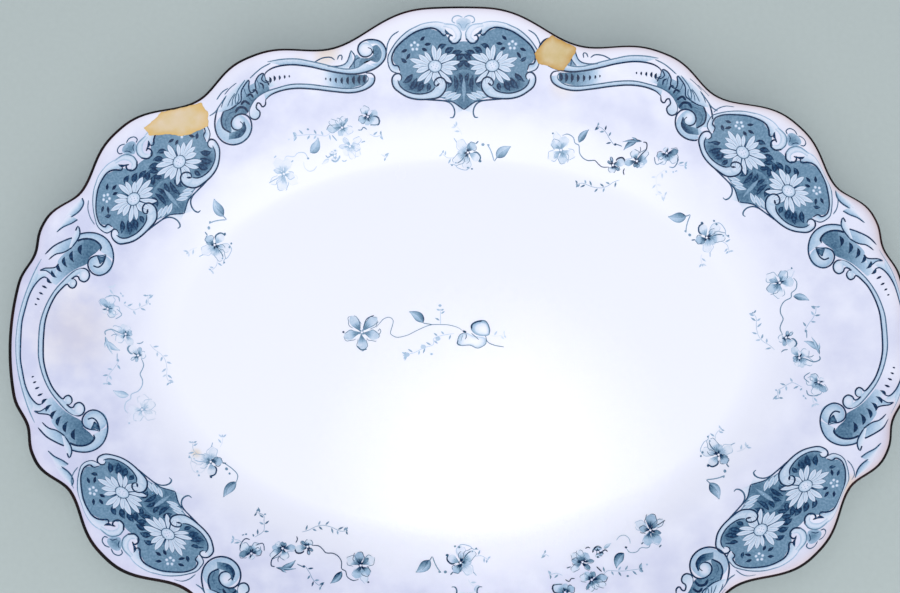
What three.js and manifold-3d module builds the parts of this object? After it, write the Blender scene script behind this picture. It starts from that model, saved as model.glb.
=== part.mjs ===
// Oval serving platter of pressed earthenware: a flat well, a sloping border and a scalloped lip.
// Sizes are in millimetres, +Z is up and +X runs along the length.
// The origin is the middle of the surface that the platter stands on.
import * as THREE from 'three';
import { mergeVertices } from 'three/addons/utils/BufferGeometryUtils.js';
import Module from 'manifold-3d';

// Overall size: the oval that just touches the outermost lobes of the rim
const platterLength = 406;
const platterWidth = 312;
const platterHeight = 36;

// Cross-section of the border, with widths measured inwards from the edge
const lipWidth = 2.6;
const lipDrop = 2;
const lipThickness = 4.4;
const borderWidth = 46;
const borderFall = 13;
const cavettoWidth = 26;
const wallThickness = 6;
const glazeThickness = 0.4;

// Foot ring under the well, with the glaze wiped back from it
const footHeight = 5.6;
const footSetback = 8;
const footRootWidth = 7.5;
const footTreadWidth = 4;
const footTaperHeight = 3.6;
const wipedMargin = 0.6;

// Scallops of the rim in one quarter, from the long end to the side: angle on the oval in degrees, and how far
// the edge draws in from the oval there. Lobes and notches alternate, and the first and last lobes are flat-topped.
const scallops = [
  { angle: 9, inset: 0 },
  { angle: 15, inset: 2.8 },
  { angle: 20, inset: 0.5 },
  { angle: 28, inset: 7.4 },
  { angle: 39, inset: 0.9 },
  { angle: 51.5, inset: 11.6 },
  { angle: 61, inset: 4.1 },
  { angle: 72.5, inset: 12.2 },
  { angle: 87, inset: 0 },
];
const notchSharpness = 1.35;
const scallopReach = 34;
const fluteDepth = 1.5;
const fluteReach = 30;

// Old flake losses in the face glaze, where the body shows: where the middle of each lies, by its angle on the oval
// and its distance in from the edge, and its outline around that middle
const flakes = [
  {
    angle: 133.3,
    inward: 9.5,
    outline: [[9.5, 6.6], [13.6, 1.8], [13.2, -3.8], [4.2, -6.9], [-11.4, -6.8], [-15.2, -3.9], [-8.6, 2.6]],
  },
  {
    angle: 75.7,
    inward: 10,
    outline: [[-1.6, 8], [8.6, 2.4], [9, -1.4], [5, -8.2], [-5.4, -7.4], [-9.8, 0], [-5.6, 5.4]],
  },
];

// Fineness of the facets
const facetAngle = 4.5;
const lipFacets = 3;
const underLipFacets = 2;
const borderFacets = 3;
const cavettoFacets = 4;
const flakeFacets = 21;

const edgeHeight = platterHeight - lipDrop;
const borderFootHeight = platterHeight - borderFall;
const wellInset = borderWidth + cavettoWidth;
const wellHeight = footHeight + wallThickness + glazeThickness;
const footInset = wellInset + footSetback;

const wasm = await Module();
wasm.setup();

// How far the edge is drawn in at an angle: a raised cosine from each notch to the lobes beside it
function edgeInset(angle) {
  const halfTurn = THREE.MathUtils.euclideanModulo(angle, 180);
  const folded = Math.min(halfTurn, 180 - halfTurn);
  const next = scallops.findIndex((scallop) => scallop.angle > folded);
  if (next === 0) return scallops[0].inset;
  if (next < 0) return scallops.at(-1).inset;
  const pair = [scallops[next - 1], scallops[next]];
  const [lobe, notch] = pair.sort((one, other) => one.inset - other.inset);
  const share = (folded - notch.angle) / (lobe.angle - notch.angle);
  const fall = (1 + Math.cos(Math.PI * share)) / 2;
  return lobe.inset + (notch.inset - lobe.inset) * fall ** notchSharpness;
}

// Share of the rim's shape that is left at a distance in from the edge
function fade(inward, reach) {
  const share = THREE.MathUtils.clamp(inward / reach, 0, 1);
  return (1 + Math.cos(Math.PI * share)) / 2;
}

// A point of the cross-section, carried to an angle round the platter
function placeOnPlatter(angle, { x: inward, y: height }) {
  const turn = THREE.MathUtils.degToRad(angle);
  const halfLength = platterLength / 2 - inward;
  const halfWidth = platterWidth / 2 - inward;
  const onOval = new THREE.Vector3(halfLength * Math.cos(turn), halfWidth * Math.sin(turn), height);
  const outward = new THREE.Vector3(halfWidth * Math.cos(turn), halfLength * Math.sin(turn), 0).normalize();
  const inset = edgeInset(angle);
  const deepest = Math.max(...scallops.map((scallop) => scallop.inset));
  onOval.addScaledVector(outward, -inset * fade(inward, scallopReach));
  onOval.z -= fluteDepth * (inset / deepest) * fade(inward, fluteReach);
  return onOval;
}

// Angles of the facets: every lobe and notch has one, with even steps between them
function facetAngles() {
  const quarter = [0, ...scallops.map((scallop) => scallop.angle), 90];
  const rising = quarter.slice(0, -1).flatMap((start, index) => {
    const span = quarter[index + 1] - start;
    const steps = Math.ceil(span / facetAngle);
    return Array.from({ length: steps }, (_, step) => start + (span * step) / steps);
  });
  const falling = rising.map((angle) => 180 - angle).filter((angle) => angle < 180).reverse();
  const half = [...rising, 90, ...falling];
  return [...half, ...half.map((angle) => angle + 180)];
}
const angles = facetAngles();

// A point of a cross-section: how far in from the edge it is, and its height
const section = (inward, height) => new THREE.Vector2(inward, height);

// A cross-section curve as points, without its first one
function along(curve, facets) {
  return curve.getPoints(facets).slice(1);
}

function bezier(...points) {
  const vectors = points.map(([inward, height]) => section(inward, height));
  return vectors.length === 3 ? new THREE.QuadraticBezierCurve(...vectors) : new THREE.CubicBezierCurve(...vectors);
}

// Section of a border surface from the edge to the flat: lip, sloping border and cavetto
function borderSection(lipLevel, borderLevel, flatLevel, facetsOfLip) {
  const slope = (lipLevel - borderLevel) / (borderWidth - lipWidth);
  const third = (borderWidth - lipWidth) / 3;
  const bend = cavettoWidth / 3;
  const lip = bezier([0, edgeHeight], [0, lipLevel], [lipWidth, lipLevel]);
  const border = bezier(
    [lipWidth, lipLevel],
    [lipWidth + third, lipLevel - slope * third / 2],
    [borderWidth - third, borderLevel + slope * third],
    [borderWidth, borderLevel],
  );
  const cavetto = bezier(
    [borderWidth, borderLevel],
    [borderWidth + bend, borderLevel - slope * bend],
    [wellInset - bend, flatLevel],
    [wellInset, flatLevel],
  );
  return [
    section(0, edgeHeight),
    ...along(lip, facetsOfLip),
    ...along(border, borderFacets),
    ...along(cavetto, cavettoFacets),
  ];
}

// The same section moved into the wall by the glaze: down from the face (side -1), or up from the back (side 1)
function underGlaze(surface, side) {
  return surface.map((point, index) => {
    if (index === 0) return section(point.x + glazeThickness, point.y);
    const before = surface[index - 1];
    const after = surface[index + 1];
    if (!after) return section(point.x, point.y + side * glazeThickness);
    const run = after.clone().sub(before).normalize();
    return point.clone().addScaledVector(section(-run.y, run.x), side * glazeThickness);
  });
}

// A closed body: a section carried round the platter, with the middle filled where it reaches the axis.
// The section runs outwards along its top and back inwards along its underside. Each quad is split the same way
// on both sides, from its inner corner to its outer one, so that touching layers share their facets.
function sweptBody(outline, reachesAxis) {
  const positions = outline.flatMap((point) => angles.flatMap((angle) => placeOnPlatter(angle, point).toArray()));
  const count = angles.length;
  const lastBand = reachesAxis ? outline.length - 1 : outline.length;
  const faces = [];
  const cornerAt = (row, column) => (row % outline.length) * count + (column % count);
  for (let row = 0; row < lastBand; row += 1) {
    for (let column = 0; column < count; column += 1) {
      const here = cornerAt(row, column);
      const below = cornerAt(row + 1, column);
      const beside = cornerAt(row, column + 1);
      const across = cornerAt(row + 1, column + 1);
      const runsOut = outline[(row + 1) % outline.length].x < outline[row].x;
      if (runsOut) faces.push(here, below, across, here, across, beside);
      else faces.push(here, below, beside, beside, below, across);
    }
  }
  if (reachesAxis) {
    const top = outline.length * count;
    const bottom = top + 1;
    const lastRow = outline.length - 1;
    positions.push(0, 0, outline[0].y, 0, 0, outline[lastRow].y);
    for (let column = 0; column < count; column += 1) {
      faces.push(top, cornerAt(0, column), cornerAt(0, column + 1));
      faces.push(bottom, cornerAt(lastRow, column + 1), cornerAt(lastRow, column));
    }
  }
  const geometry = new THREE.BufferGeometry();
  geometry.setAttribute('position', new THREE.Float32BufferAttribute(positions, 3));
  geometry.setIndex(faces);
  return geometry;
}

function toSolid(geometry) {
  const bare = geometry.clone();
  bare.deleteAttribute('normal');
  bare.deleteAttribute('uv');
  const merged = mergeVertices(bare);
  return new wasm.Manifold(new wasm.Mesh({
    numProp: 3,
    vertProperties: new Float32Array(merged.attributes.position.array),
    triVerts: new Uint32Array(merged.index.array),
  }));
}

function toGeometry(solid) {
  const mesh = solid.getMesh();
  const geometry = new THREE.BufferGeometry();
  geometry.setAttribute('position', new THREE.BufferAttribute(mesh.vertProperties, 3));
  geometry.setIndex(new THREE.BufferAttribute(mesh.triVerts, 1));
  return geometry;
}

// The space of one flake: its rounded outline, standing upright through the glaze of the border
function flakeSpace({ angle, inward, outline }) {
  const centre = placeOnPlatter(angle, section(inward, 0));
  const corners = outline.map(([x, y]) => new THREE.Vector3(centre.x + x, centre.y + y, 0));
  const rounded = new THREE.CatmullRomCurve3(corners, true).getPoints(flakeFacets).slice(0, -1);
  const shape = new THREE.Shape(rounded.map((point) => new THREE.Vector2(point.x, point.y)));
  const prism = new THREE.ExtrudeGeometry(shape, { depth: platterHeight, bevelEnabled: false });
  prism.translate(0, 0, wellHeight);
  return toSolid(prism);
}

function named(name, geometry, color, roughness) {
  const material = new THREE.MeshStandardMaterial({ color, roughness, metalness: 0 });
  const piece = new THREE.Mesh(geometry, material);
  piece.name = name;
  return piece;
}

// Surfaces of the glazed platter, each from the edge inwards, and the body's own surfaces under them
const face = borderSection(platterHeight, borderFootHeight, wellHeight, lipFacets);
const back = borderSection(
  platterHeight - lipThickness,
  borderFootHeight - wallThickness - 2 * glazeThickness,
  footHeight - glazeThickness,
  underLipFacets,
);
const bodyFace = underGlaze(face, -1);
const bodyBack = underGlaze(back, 1);

// Pressed body: well, border and lip in one
const body = sweptBody([...bodyFace.toReversed(), ...bodyBack.slice(1)], true);

// Face glaze: over the well, the border and the lip, broken by the flakes
const wholeFaceGlaze = toSolid(sweptBody([...face.toReversed(), ...bodyFace], true));
const faceGlaze = flakes.map(flakeSpace).reduce((glaze, space) => glaze.subtract(space), wholeFaceGlaze);

// Back glaze: from the edge round under the border to just short of the foot
const backEnd = footInset - wipedMargin;
const backGlaze = sweptBody([
  section(backEnd, footHeight),
  ...bodyBack.toReversed(),
  ...back,
  section(backEnd, footHeight - glazeThickness),
], false);

// Foot ring: an oval strip with tapered sides, standing on its narrow tread
const footMiddle = footInset + footRootWidth / 2;
const footRing = sweptBody([
  section(footInset + footRootWidth, footHeight),
  section(footInset, footHeight),
  section(footInset, footTaperHeight),
  section(footMiddle - footTreadWidth / 2, 0),
  section(footMiddle + footTreadWidth / 2, 0),
  section(footInset + footRootWidth, footTaperHeight),
], false);

// Base glaze: the recessed underside inside the foot ring
const baseEdge = footInset + footRootWidth + wipedMargin;
const baseGlaze = sweptBody([
  section(baseEdge, footHeight),
  section(baseEdge, footHeight - glazeThickness),
], true);

const platter = new THREE.Group();
platter.name = 'oval_platter';
platter.add(
  named('biscuit_body', body, '#e2c48d', 0.85),
  named('foot_ring', footRing, '#e6d9bf', 0.8),
  named('face_glaze', toGeometry(faceGlaze), '#eeecf6', 0.12),
  named('back_glaze', backGlaze, '#eeecf6', 0.15),
  named('base_glaze', baseGlaze, '#eeecf6', 0.15),
);

export default platter;
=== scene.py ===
import math

import bpy
import numpy as np
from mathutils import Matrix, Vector


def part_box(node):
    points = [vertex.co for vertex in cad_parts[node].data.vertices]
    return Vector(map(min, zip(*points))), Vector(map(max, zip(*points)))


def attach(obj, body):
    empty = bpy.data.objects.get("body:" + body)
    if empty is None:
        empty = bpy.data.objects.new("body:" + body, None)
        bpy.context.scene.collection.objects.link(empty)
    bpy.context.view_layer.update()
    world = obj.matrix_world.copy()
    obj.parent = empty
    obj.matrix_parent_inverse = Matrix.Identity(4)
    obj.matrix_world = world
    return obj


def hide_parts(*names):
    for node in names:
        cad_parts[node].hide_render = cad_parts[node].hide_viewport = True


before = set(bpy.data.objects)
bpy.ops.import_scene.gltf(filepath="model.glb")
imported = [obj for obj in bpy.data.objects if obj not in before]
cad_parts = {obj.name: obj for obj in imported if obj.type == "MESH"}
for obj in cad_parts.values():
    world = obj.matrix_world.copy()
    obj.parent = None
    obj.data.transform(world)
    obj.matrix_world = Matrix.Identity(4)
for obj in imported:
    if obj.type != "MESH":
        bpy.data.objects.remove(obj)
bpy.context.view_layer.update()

mm = 0.001
print("frame loaded")

# Form of the platter in millimetres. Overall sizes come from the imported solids, the rest repeats the
# pressed form.
faceLow, faceHigh = (np.array(corner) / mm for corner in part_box("face_glaze"))
footHigh = [np.array(corner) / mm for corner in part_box("foot_ring")][1]
baseLow, baseHigh = (np.array(corner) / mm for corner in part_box("base_glaze"))
platter = {
    "skinClearance": 0.1,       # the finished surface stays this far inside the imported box
    "glaze": baseHigh[2] - baseLow[2],
    "lipWidth": 2.6,
    "lipDrop": 2.0,
    "lipThickness": 4.4,
    "borderWidth": 46.0,
    "borderFall": 13.0,
    "cavettoWidth": 26.0,
    "wall": 6.0,
    "scallops": [               # degrees round from the long axis, and how far the edge draws in there
        (9, 0.0), (15, 2.8), (20, 0.5), (28, 7.4), (39, 0.9), (51.5, 11.6), (61, 4.1), (72.5, 12.2),
        (87, 0.0)],
    "notchSharpness": 1.35,
    "scallopReach": 34.0,
    "fluteDepth": 1.5,
    "fluteReach": 30.0,
    "sectionStep": 0.05,
    "sectionOverrun": 20.0,     # how far the section runs on over the well
    "sectionSoftening": 3.0,    # width over which the pressed bends run out
    "rollKept": 0.6,            # width of the lip's own roll, which stays sharp
    "rollBlend": 2.0,
    "unevenness": 0.12,         # hand-pressed waviness of the well and border
    "quietLip": 8.0,            # width over which the waviness sets in from the edge
}
halfLength = faceHigh[0] - platter["skinClearance"]
halfWidth = faceHigh[1] - platter["skinClearance"]
rimTop = faceHigh[2] - platter["skinClearance"]
wellInset = platter["borderWidth"] + platter["cavettoWidth"]
wellTop = faceLow[2] + platter["glaze"]
baseLevel = footHigh[2] - platter["glaze"]
scallops = np.array(platter["scallops"])


# How far the edge draws in at an angle in radians: a raised cosine from each notch to the lobes beside it
def edgeInset(angle):
    halfTurn = np.mod(np.degrees(angle), 180)
    folded = np.minimum(halfTurn, 180 - halfTurn)
    after = np.clip(np.searchsorted(scallops[:, 0], folded, side="right"), 1, len(scallops) - 1)
    one, other = scallops[after - 1], scallops[after]
    oneIsLobe = (one[..., 1] < other[..., 1])[..., None]
    lobe, notch = np.where(oneIsLobe, one, other), np.where(oneIsLobe, other, one)
    share = np.clip((folded - notch[..., 0]) / (lobe[..., 0] - notch[..., 0]), 0, 1)
    fall = ((1 + np.cos(np.pi * share)) / 2) ** platter["notchSharpness"]
    inset = lobe[..., 1] + (notch[..., 1] - lobe[..., 1]) * fall
    flat = (folded <= scallops[0, 0]) | (folded >= scallops[-1, 0])
    return np.where(flat, 0.0, inset)


# Share of the rim's shape that is left at a distance in from the edge: half a cosine wave
def fade(inward, reach):
    return (1 + np.cos(np.pi * np.clip(inward / reach, 0, 1))) / 2


# Bezier curve through three or four handles, as points
def bezier(handles, count):
    p = np.array(handles, float)
    t = np.linspace(0, 1, count)[:, None]
    if len(p) == 3:
        return (1 - t) ** 2 * p[0] + 2 * t * (1 - t) * p[1] + t ** 2 * p[2]
    return (1 - t) ** 3 * p[0] + 3 * t * (1 - t) ** 2 * p[1] + 3 * t ** 2 * (1 - t) * p[2] + t ** 3 * p[3]


# Section of the face or back as heights over even steps in from the edge: Bezier curves for the lip, the
# border and the cavetto, then a running mean that softens the bends
def sectionHeights(lipLevel, borderLevel, flatLevel):
    lipWidth, borderWidth = platter["lipWidth"], platter["borderWidth"]
    slope = (lipLevel - borderLevel) / (borderWidth - lipWidth)
    third, bend = (borderWidth - lipWidth) / 3, platter["cavettoWidth"] / 3
    edge = rimTop - platter["lipDrop"]
    curve = np.vstack([
        bezier([[0, edge], [0, lipLevel], [lipWidth, lipLevel]], 40),
        bezier([[lipWidth, lipLevel], [lipWidth + third, lipLevel - slope * third / 2],
                [borderWidth - third, borderLevel + slope * third], [borderWidth, borderLevel]], 80)[1:],
        bezier([[borderWidth, borderLevel], [borderWidth + bend, borderLevel - slope * bend],
                [wellInset - bend, flatLevel], [wellInset, flatLevel]], 60)[1:],
    ])
    inward = np.arange(0, wellInset + platter["sectionOverrun"], platter["sectionStep"])
    height = np.interp(inward, curve[:, 0], curve[:, 1])
    window = int(platter["sectionSoftening"] / platter["sectionStep"])
    padded = np.pad(height, window, mode="edge")
    softened = np.convolve(padded, np.ones(window) / window, mode="same")[window:-window]
    blendIn = np.clip((inward - platter["rollKept"]) / platter["rollBlend"], 0, 1)
    return inward, height + (softened - height) * blendIn


faceSection = sectionHeights(rimTop, rimTop - platter["borderFall"], wellTop)
backBorder = rimTop - platter["borderFall"] - platter["wall"] - 2 * platter["glaze"]
backSection = sectionHeights(rimTop - platter["lipThickness"], backBorder, baseLevel)

# Two old flakes where the glaze is gone: angle on the oval, distance in from the edge, outline about it
flakes = {
    "left": {"angle": 133.3, "inward": 9.5, "outline": [
        (10.8, 8.6), (14.2, 3.7), (13.8, -1.8), (4.9, -5.9), (0.9, -6.6), (-3.7, -5.9), (-12.6, -6.9),
        (-15.4, -3.6), (-10.2, 0.8), (-7.4, 4.0), (-1.3, 5.3)]},
    "top": {"angle": 75.7, "inward": 10.0, "outline": [
        (-1.5, 8.0), (3.0, 5.5), (9.8, 2.2), (9.3, -0.3), (6.0, -5.2), (3.9, -7.6), (1.5, -7.7), (-4.6, -5.1),
        (-7.9, -4.5), (-9.8, 0.0), (-6.5, 3.9), (-4.1, 6.3)]},
}
flakeDepth = 0.5
flakeSlope = 0.4    # share of the radius over which a dish falls to its full depth


# Outward direction of an oval at an angle: square to its edge
def ovalOutward(angle, long, short):
    outward = np.stack([short * np.cos(angle), long * np.sin(angle)], -1)
    return outward / np.linalg.norm(outward, axis=-1, keepdims=True)


# Plan of the platter: an oval drawn in by the distance from the edge, then by what is left of the scallops
# there. Past the cavetto the ovals shrink to the middle instead, so that they close on one point.
def planPoint(angle, inward):
    ring = np.minimum(inward, wellInset)
    shrink = np.clip(1 - (inward - wellInset) / wellInset, 0, 1)
    long, short = halfLength - ring, halfWidth - ring
    plain = np.stack([long * np.cos(angle), short * np.sin(angle)], -1) * shrink[..., None]
    drawnIn = edgeInset(angle) * fade(inward, platter["scallopReach"])
    return plain - ovalOutward(angle, long, short) * drawnIn[..., None]


# The other way round: angle and distance in from the edge of a place in plan. Newton steps find the oval
# through the place, then the place is moved out by what the scallops draw in there, and so on.
def rimCoordinates(plan):
    passes, newtonSteps = 16, 3
    start, lowest, highest = 20.0, -4, wellInset + 18
    moved = np.array(plan, float)
    inward = np.full(moved.shape[:-1], start)
    for _ in range(passes):
        for _ in range(newtonSteps):
            long, short = halfLength - inward, halfWidth - inward
            miss = (moved[..., 0] / long) ** 2 + (moved[..., 1] / short) ** 2 - 1
            rate = 2 * moved[..., 0] ** 2 / long ** 3 + 2 * moved[..., 1] ** 2 / short ** 3
            inward = np.clip(inward - miss / np.maximum(rate, 1e-6), lowest, highest)
        long, short = halfLength - inward, halfWidth - inward
        angle = np.arctan2(moved[..., 1] / short, moved[..., 0] / long)
        drawnIn = edgeInset(angle) * fade(inward, platter["scallopReach"])
        moved = plan + ovalOutward(angle, long, short) * drawnIn[..., None]
    return angle, inward


# Slow waves of a hand-pressed surface, only ever downwards: three products or sums of sines
def unevenness(plan):
    x, y = plan[..., 0], plan[..., 1]
    waves = np.sin(x / 41 + 0.4) * np.sin(y / 33 + 1.1)
    waves = waves + 0.6 * np.sin(x / 19 - y / 27) + 0.4 * np.sin(y / 15 + x / 52)
    return platter["unevenness"] * (waves - 2.0) / 2


# How far the flakes are dished at a place: nothing at the outline, then a smooth step down to the depth
def flakeDish(plan):
    dish = np.zeros(plan.shape[:-1])
    for flake in flakes.values():
        offset = plan - planPoint(np.radians(flake["angle"]), np.array(flake["inward"]))
        ring = smoothPath(flake["outline"], 6, closed=True)
        order = np.argsort(np.arctan2(ring[:, 1], ring[:, 0]))
        bearing = np.arctan2(ring[order, 1], ring[order, 0])
        reach = np.interp(np.arctan2(offset[..., 1], offset[..., 0]), bearing,
                          np.hypot(ring[order, 0], ring[order, 1]), period=2 * np.pi)
        share = np.clip((1 - np.hypot(offset[..., 0], offset[..., 1]) / reach) / flakeSlope, 0, 1)
        dish = np.maximum(dish, flakeDepth * share * share * (3 - 2 * share))
    return dish


# Height of a section over the plan: its own height, less the flutes from the notches and the waves
def surfaceHeight(section, plan, angle, inward):
    depth = platter["fluteDepth"] * edgeInset(angle) / scallops[:, 1].max()
    flute = depth * fade(inward, platter["fluteReach"])
    quiet = np.clip(inward / platter["quietLip"], 0, 1)
    return np.interp(inward, *section) - flute + unevenness(plan) * quiet


# Points of the face lifted along its own normal, with the normals, which come from small differences
def onFace(plan, lift):
    def heightAt(place):
        angle, inward = rimCoordinates(place)
        return surfaceHeight(faceSection, place, angle, inward) - flakeDish(place)
    step = 0.2
    middle = heightAt(plan)
    beside = np.stack([heightAt(plan + [step, 0]), heightAt(plan + [0, step])], -1)
    rise = (beside - middle[..., None]) / step
    normal = np.concatenate([-rise, np.ones_like(middle)[..., None]], -1)
    normal = normal / np.linalg.norm(normal, axis=-1, keepdims=True)
    return np.concatenate([plan, middle[..., None]], -1) + normal * np.asarray(lift)[..., None], normal


# Smooth curve through a few points: Catmull-Rom, a fixed number of steps to each stretch
def smoothPath(points, steps=8, closed=False):
    p = np.asarray(points, float)
    p = np.vstack([p[-1], p, p[:2]]) if closed else np.vstack([2 * p[0] - p[1], p, 2 * p[-1] - p[-2]])
    t = np.linspace(0, 1, steps, endpoint=False)[:, None, None]
    a, b, c, d = p[:-3], p[1:-2], p[2:-1], p[3:]
    bend, twist = 2 * a - 5 * b + 4 * c - d, 3 * b - a - 3 * c + d
    curve = 0.5 * (2 * b + (c - a) * t + bend * t ** 2 + twist * t ** 3)
    path = curve.transpose(1, 0, 2).reshape(-1, p.shape[1])
    return path if closed else np.vstack([path, p[-2]])


# Quads of a grid of points, closed round where asked: each joins a point to the next row and column
def gridQuads(rows, columns, wrapRows=False, wrapColumns=False):
    row = np.arange(rows if wrapRows else rows - 1)[:, None]
    column = np.arange(columns if wrapColumns else columns - 1)[None, :]
    nextRow, nextColumn = (row + 1) % rows, (column + 1) % columns
    corners = [row * columns + column, nextRow * columns + column,
               nextRow * columns + nextColumn, row * columns + nextColumn]
    shape = np.broadcast(row, column).shape
    return np.stack([np.broadcast_to(corner, shape) for corner in corners], -1).reshape(-1, 4)


# Colours come in as sRGB hex and go out as linear light, by the sRGB curve
def linearColour(hexCode):
    channel = np.array([int(hexCode[place:place + 2], 16) for place in (1, 3, 5)]) / 255
    linear = np.where(channel <= 0.04045, channel / 12.92, ((channel + 0.055) / 1.055) ** 2.4)
    return (*linear.tolist(), 1.0)


# Adds one node with its settings, and a value or a link for each input
def addNode(tree, kind, inputs=None, **settings):
    node = tree.nodes.new(kind)
    for name, value in settings.items():
        setattr(node, name, value)
    for name, value in (inputs or {}).items():
        if isinstance(value, bpy.types.NodeSocket):
            tree.links.new(value, node.inputs[name])
        else:
            node.inputs[name].default_value = value
    return node


# Noise with a spacing in millimetres
def noise(tree, place, spacing, detail):
    inputs = {"Vector": place, "Scale": 1 / (spacing * mm), "Detail": detail}
    return addNode(tree, "ShaderNodeTexNoise", inputs).outputs["Fac"]


# A value carried from one range to another, the ends held
def mapped(tree, value, before, after=(0.0, 1.0), kind="LINEAR"):
    inputs = {"Value": value, "From Min": before[0], "From Max": before[1],
              "To Min": after[0], "To Max": after[1]}
    return addNode(tree, "ShaderNodeMapRange", inputs, interpolation_type=kind).outputs["Result"]


# Sum, product or power of values
def combined(tree, operation, *values):
    return addNode(tree, "ShaderNodeMath", dict(enumerate(values)), operation=operation).outputs[0]


# Product, length or distance of vectors
def vectors(tree, operation, *values):
    return addNode(tree, "ShaderNodeVectorMath", dict(enumerate(values)), operation=operation).outputs


# Mix of two colours by a factor
def mixed(tree, factor, one, other):
    return addNode(tree, "ShaderNodeMix", {"Factor": factor, 6: one, 7: other}, data_type="RGBA").outputs[2]


# Relief that only the light shows, with its depth in millimetres
def bumped(tree, height, strength, depth):
    inputs = {"Height": height, "Strength": strength, "Distance": depth * mm}
    return addNode(tree, "ShaderNodeBump", inputs).outputs["Normal"]


# Blush on the lip: partly a pink tint, partly painted shade of its roll
lipBlushShade = {"strength": 0.85, "reach": 3.0, "steepness": 1.3}
chartMargin = 0.02


# How strongly the lip is blushed, partly a pink tint and partly painted shade of its outward roll, at a
# distance in from
# the edge: an exponential that soon dies away
def lipBlushShadeAt(inward):
    away = np.maximum(inward, 0) / lipBlushShade["reach"]
    return lipBlushShade["strength"] * np.exp(-away ** lipBlushShade["steepness"])


# Puts corners (millimetres) and blocks of faces into a mesh object that rides on the platter. Print carries
# its tone as an attribute and along a chart, and surfaces near the edge carry how strongly the lip is
# blushed, its pink tint and painted shade together.
def addPiece(name, corners, faceBlocks, material, slot, replaced=(), tone=None, normals=None, lip=None):
    mesh = bpy.data.meshes.new(name)
    loops = np.concatenate([block.ravel() for block in faceBlocks]).astype(np.int32)
    sizes = np.concatenate([np.full(len(block), block.shape[1]) for block in faceBlocks])
    mesh.vertices.add(len(corners))
    mesh.vertices.foreach_set("co", (np.asarray(corners) * mm).astype(np.float32).ravel())
    mesh.loops.add(len(loops))
    mesh.loops.foreach_set("vertex_index", loops)
    mesh.polygons.add(len(sizes))
    mesh.polygons.foreach_set("loop_start", np.concatenate([[0], np.cumsum(sizes)[:-1]]).astype(np.int32))
    mesh.polygons.foreach_set("use_smooth", np.ones(len(sizes), bool))
    mesh.update(calc_edges=True)
    if tone is not None:
        mesh.attributes.new("tone", "FLOAT", "POINT").data.foreach_set("value", tone.astype(np.float32))
        chart = np.stack([chartMargin + (1 - 2 * chartMargin) * tone[loops], np.full(len(loops), 0.5)], -1)
        mesh.uv_layers.new(name="OFBake").data.foreach_set("uv", chart.astype(np.float32).ravel())
    if lip is not None:
        mesh.attributes.new("lip", "FLOAT", "POINT").data.foreach_set("value", lip.astype(np.float32))
    if normals is not None:
        mesh.normals_split_custom_set_from_vertices(normals.tolist())
    mesh.materials.append(material)
    piece = bpy.data.objects.new(name, mesh)
    bpy.context.scene.collection.objects.link(piece)
    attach(piece, "root")
    if replaced:
        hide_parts(*replaced)


# Camera where the photograph was taken from: close to straight above, on the near side
view = {
    "place": (6.34, -102.66, 727.89),
    "turn": (9.891, 0.847, -0.247),
    "lens": 62.28,
    "sensor": 36.0,
    "imageWidth": 900,
    "imageHeight": 593,
}
cameraData = bpy.data.cameras.new("camera")
cameraData.lens, cameraData.sensor_width = view["lens"], view["sensor"]
camera = bpy.data.objects.new("camera", cameraData)
camera.location = [value * mm for value in view["place"]]
camera.rotation_euler = [math.radians(value) for value in view["turn"]]
bpy.context.scene.collection.objects.link(camera)
bpy.context.scene.camera = camera
bpy.context.view_layer.update()


# Plan places of the face under pixels of the photograph: each sight line runs down until it meets the face
def underPixels(pixels):
    pixels = np.asarray(pixels, float)
    focal = view["lens"] / view["sensor"] * view["imageWidth"]
    sight = np.stack([(pixels[:, 0] - view["imageWidth"] / 2) / focal,
                      -(pixels[:, 1] - view["imageHeight"] / 2) / focal, -np.ones(len(pixels))], -1)
    sight = sight @ np.array(camera.matrix_world.to_3x3()).T
    height = np.full(len(pixels), wellTop)
    passes = 8
    for _ in range(passes):
        reach = (height - view["place"][2]) / sight[:, 2]
        plan = np.array(view["place"][:2]) + sight[:, :2] * reach[:, None]
        height = surfaceHeight(faceSection, plan, *rimCoordinates(plan))
    return plan


# Glazed earthenware: a white body under a clear, faintly blued glaze, with painted lavender shade on the
# border, a blush on the lip that is partly painted shade, and a few tea-coloured stains. Distances are in
# millimetres.
glazeLook = {
    "white": "#f3f5ff",
    "borderShade": "#ced2ea",
    # blush and rose: the lip's pink tint together with painted shade of its roll, the rose the browner
    "blushAndShade": "#c4aecb",
    "roseShade": "#c2a295",
    "stain": "#e3c99a",
    "clouds": 14.0,             # between clouds in the glaze
    "border": 48.0,             # from the rim to the foot of the border
    "shadeRing": (0.88, 1.1),    # oval distance over which the painted shade sets in, 1 along the foot of the border
    "shadeMost": 1.1,
    "shadeLeast": 0.02,
    "leftShare": 1.5,           # the painted shade is darker towards the left
    "rightShare": 1.05,
    "rightFrom": 100.0,
    "farRim": (118.0, 146.0),   # and paler on the far rim
    "farShare": 0.3,
    "farLip": (40.0, 100.0),    # and is taken off the far lip as a painted highlight, in a strip broader than the blush
    "lipBreadth": 0.3,
    "roseFrom": -100.0,         # the blush and its painted shade are stronger and browner towards the right
    "leftBlushShade": 0.45,
    "stainEdge": (0.6, 1.5),    # shares of a stain's radius between which it dies away
    "ior": 1.52,
    "roughness": 0.2,
    "wornShares": (0.7, 1.6),   # shares of the roughness between which wear varies it
    "wear": 30.0,
    "peel": 9.0,                # orange peel
    "peelStrength": 0.05,
    "peelDepth": 0.4,
}
stains = [  # photograph pixel, radius in millimetres, strength
    ((326, 54), 8.0, 0.42), ((196, 453), 3.5, 0.50), ((847, 482), 6.0, 0.35), ((75, 330), 26.0, 0.16),
    ((562, 86), 9.0, 0.2), ((300, 60), 5.0, 0.12),
]
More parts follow.
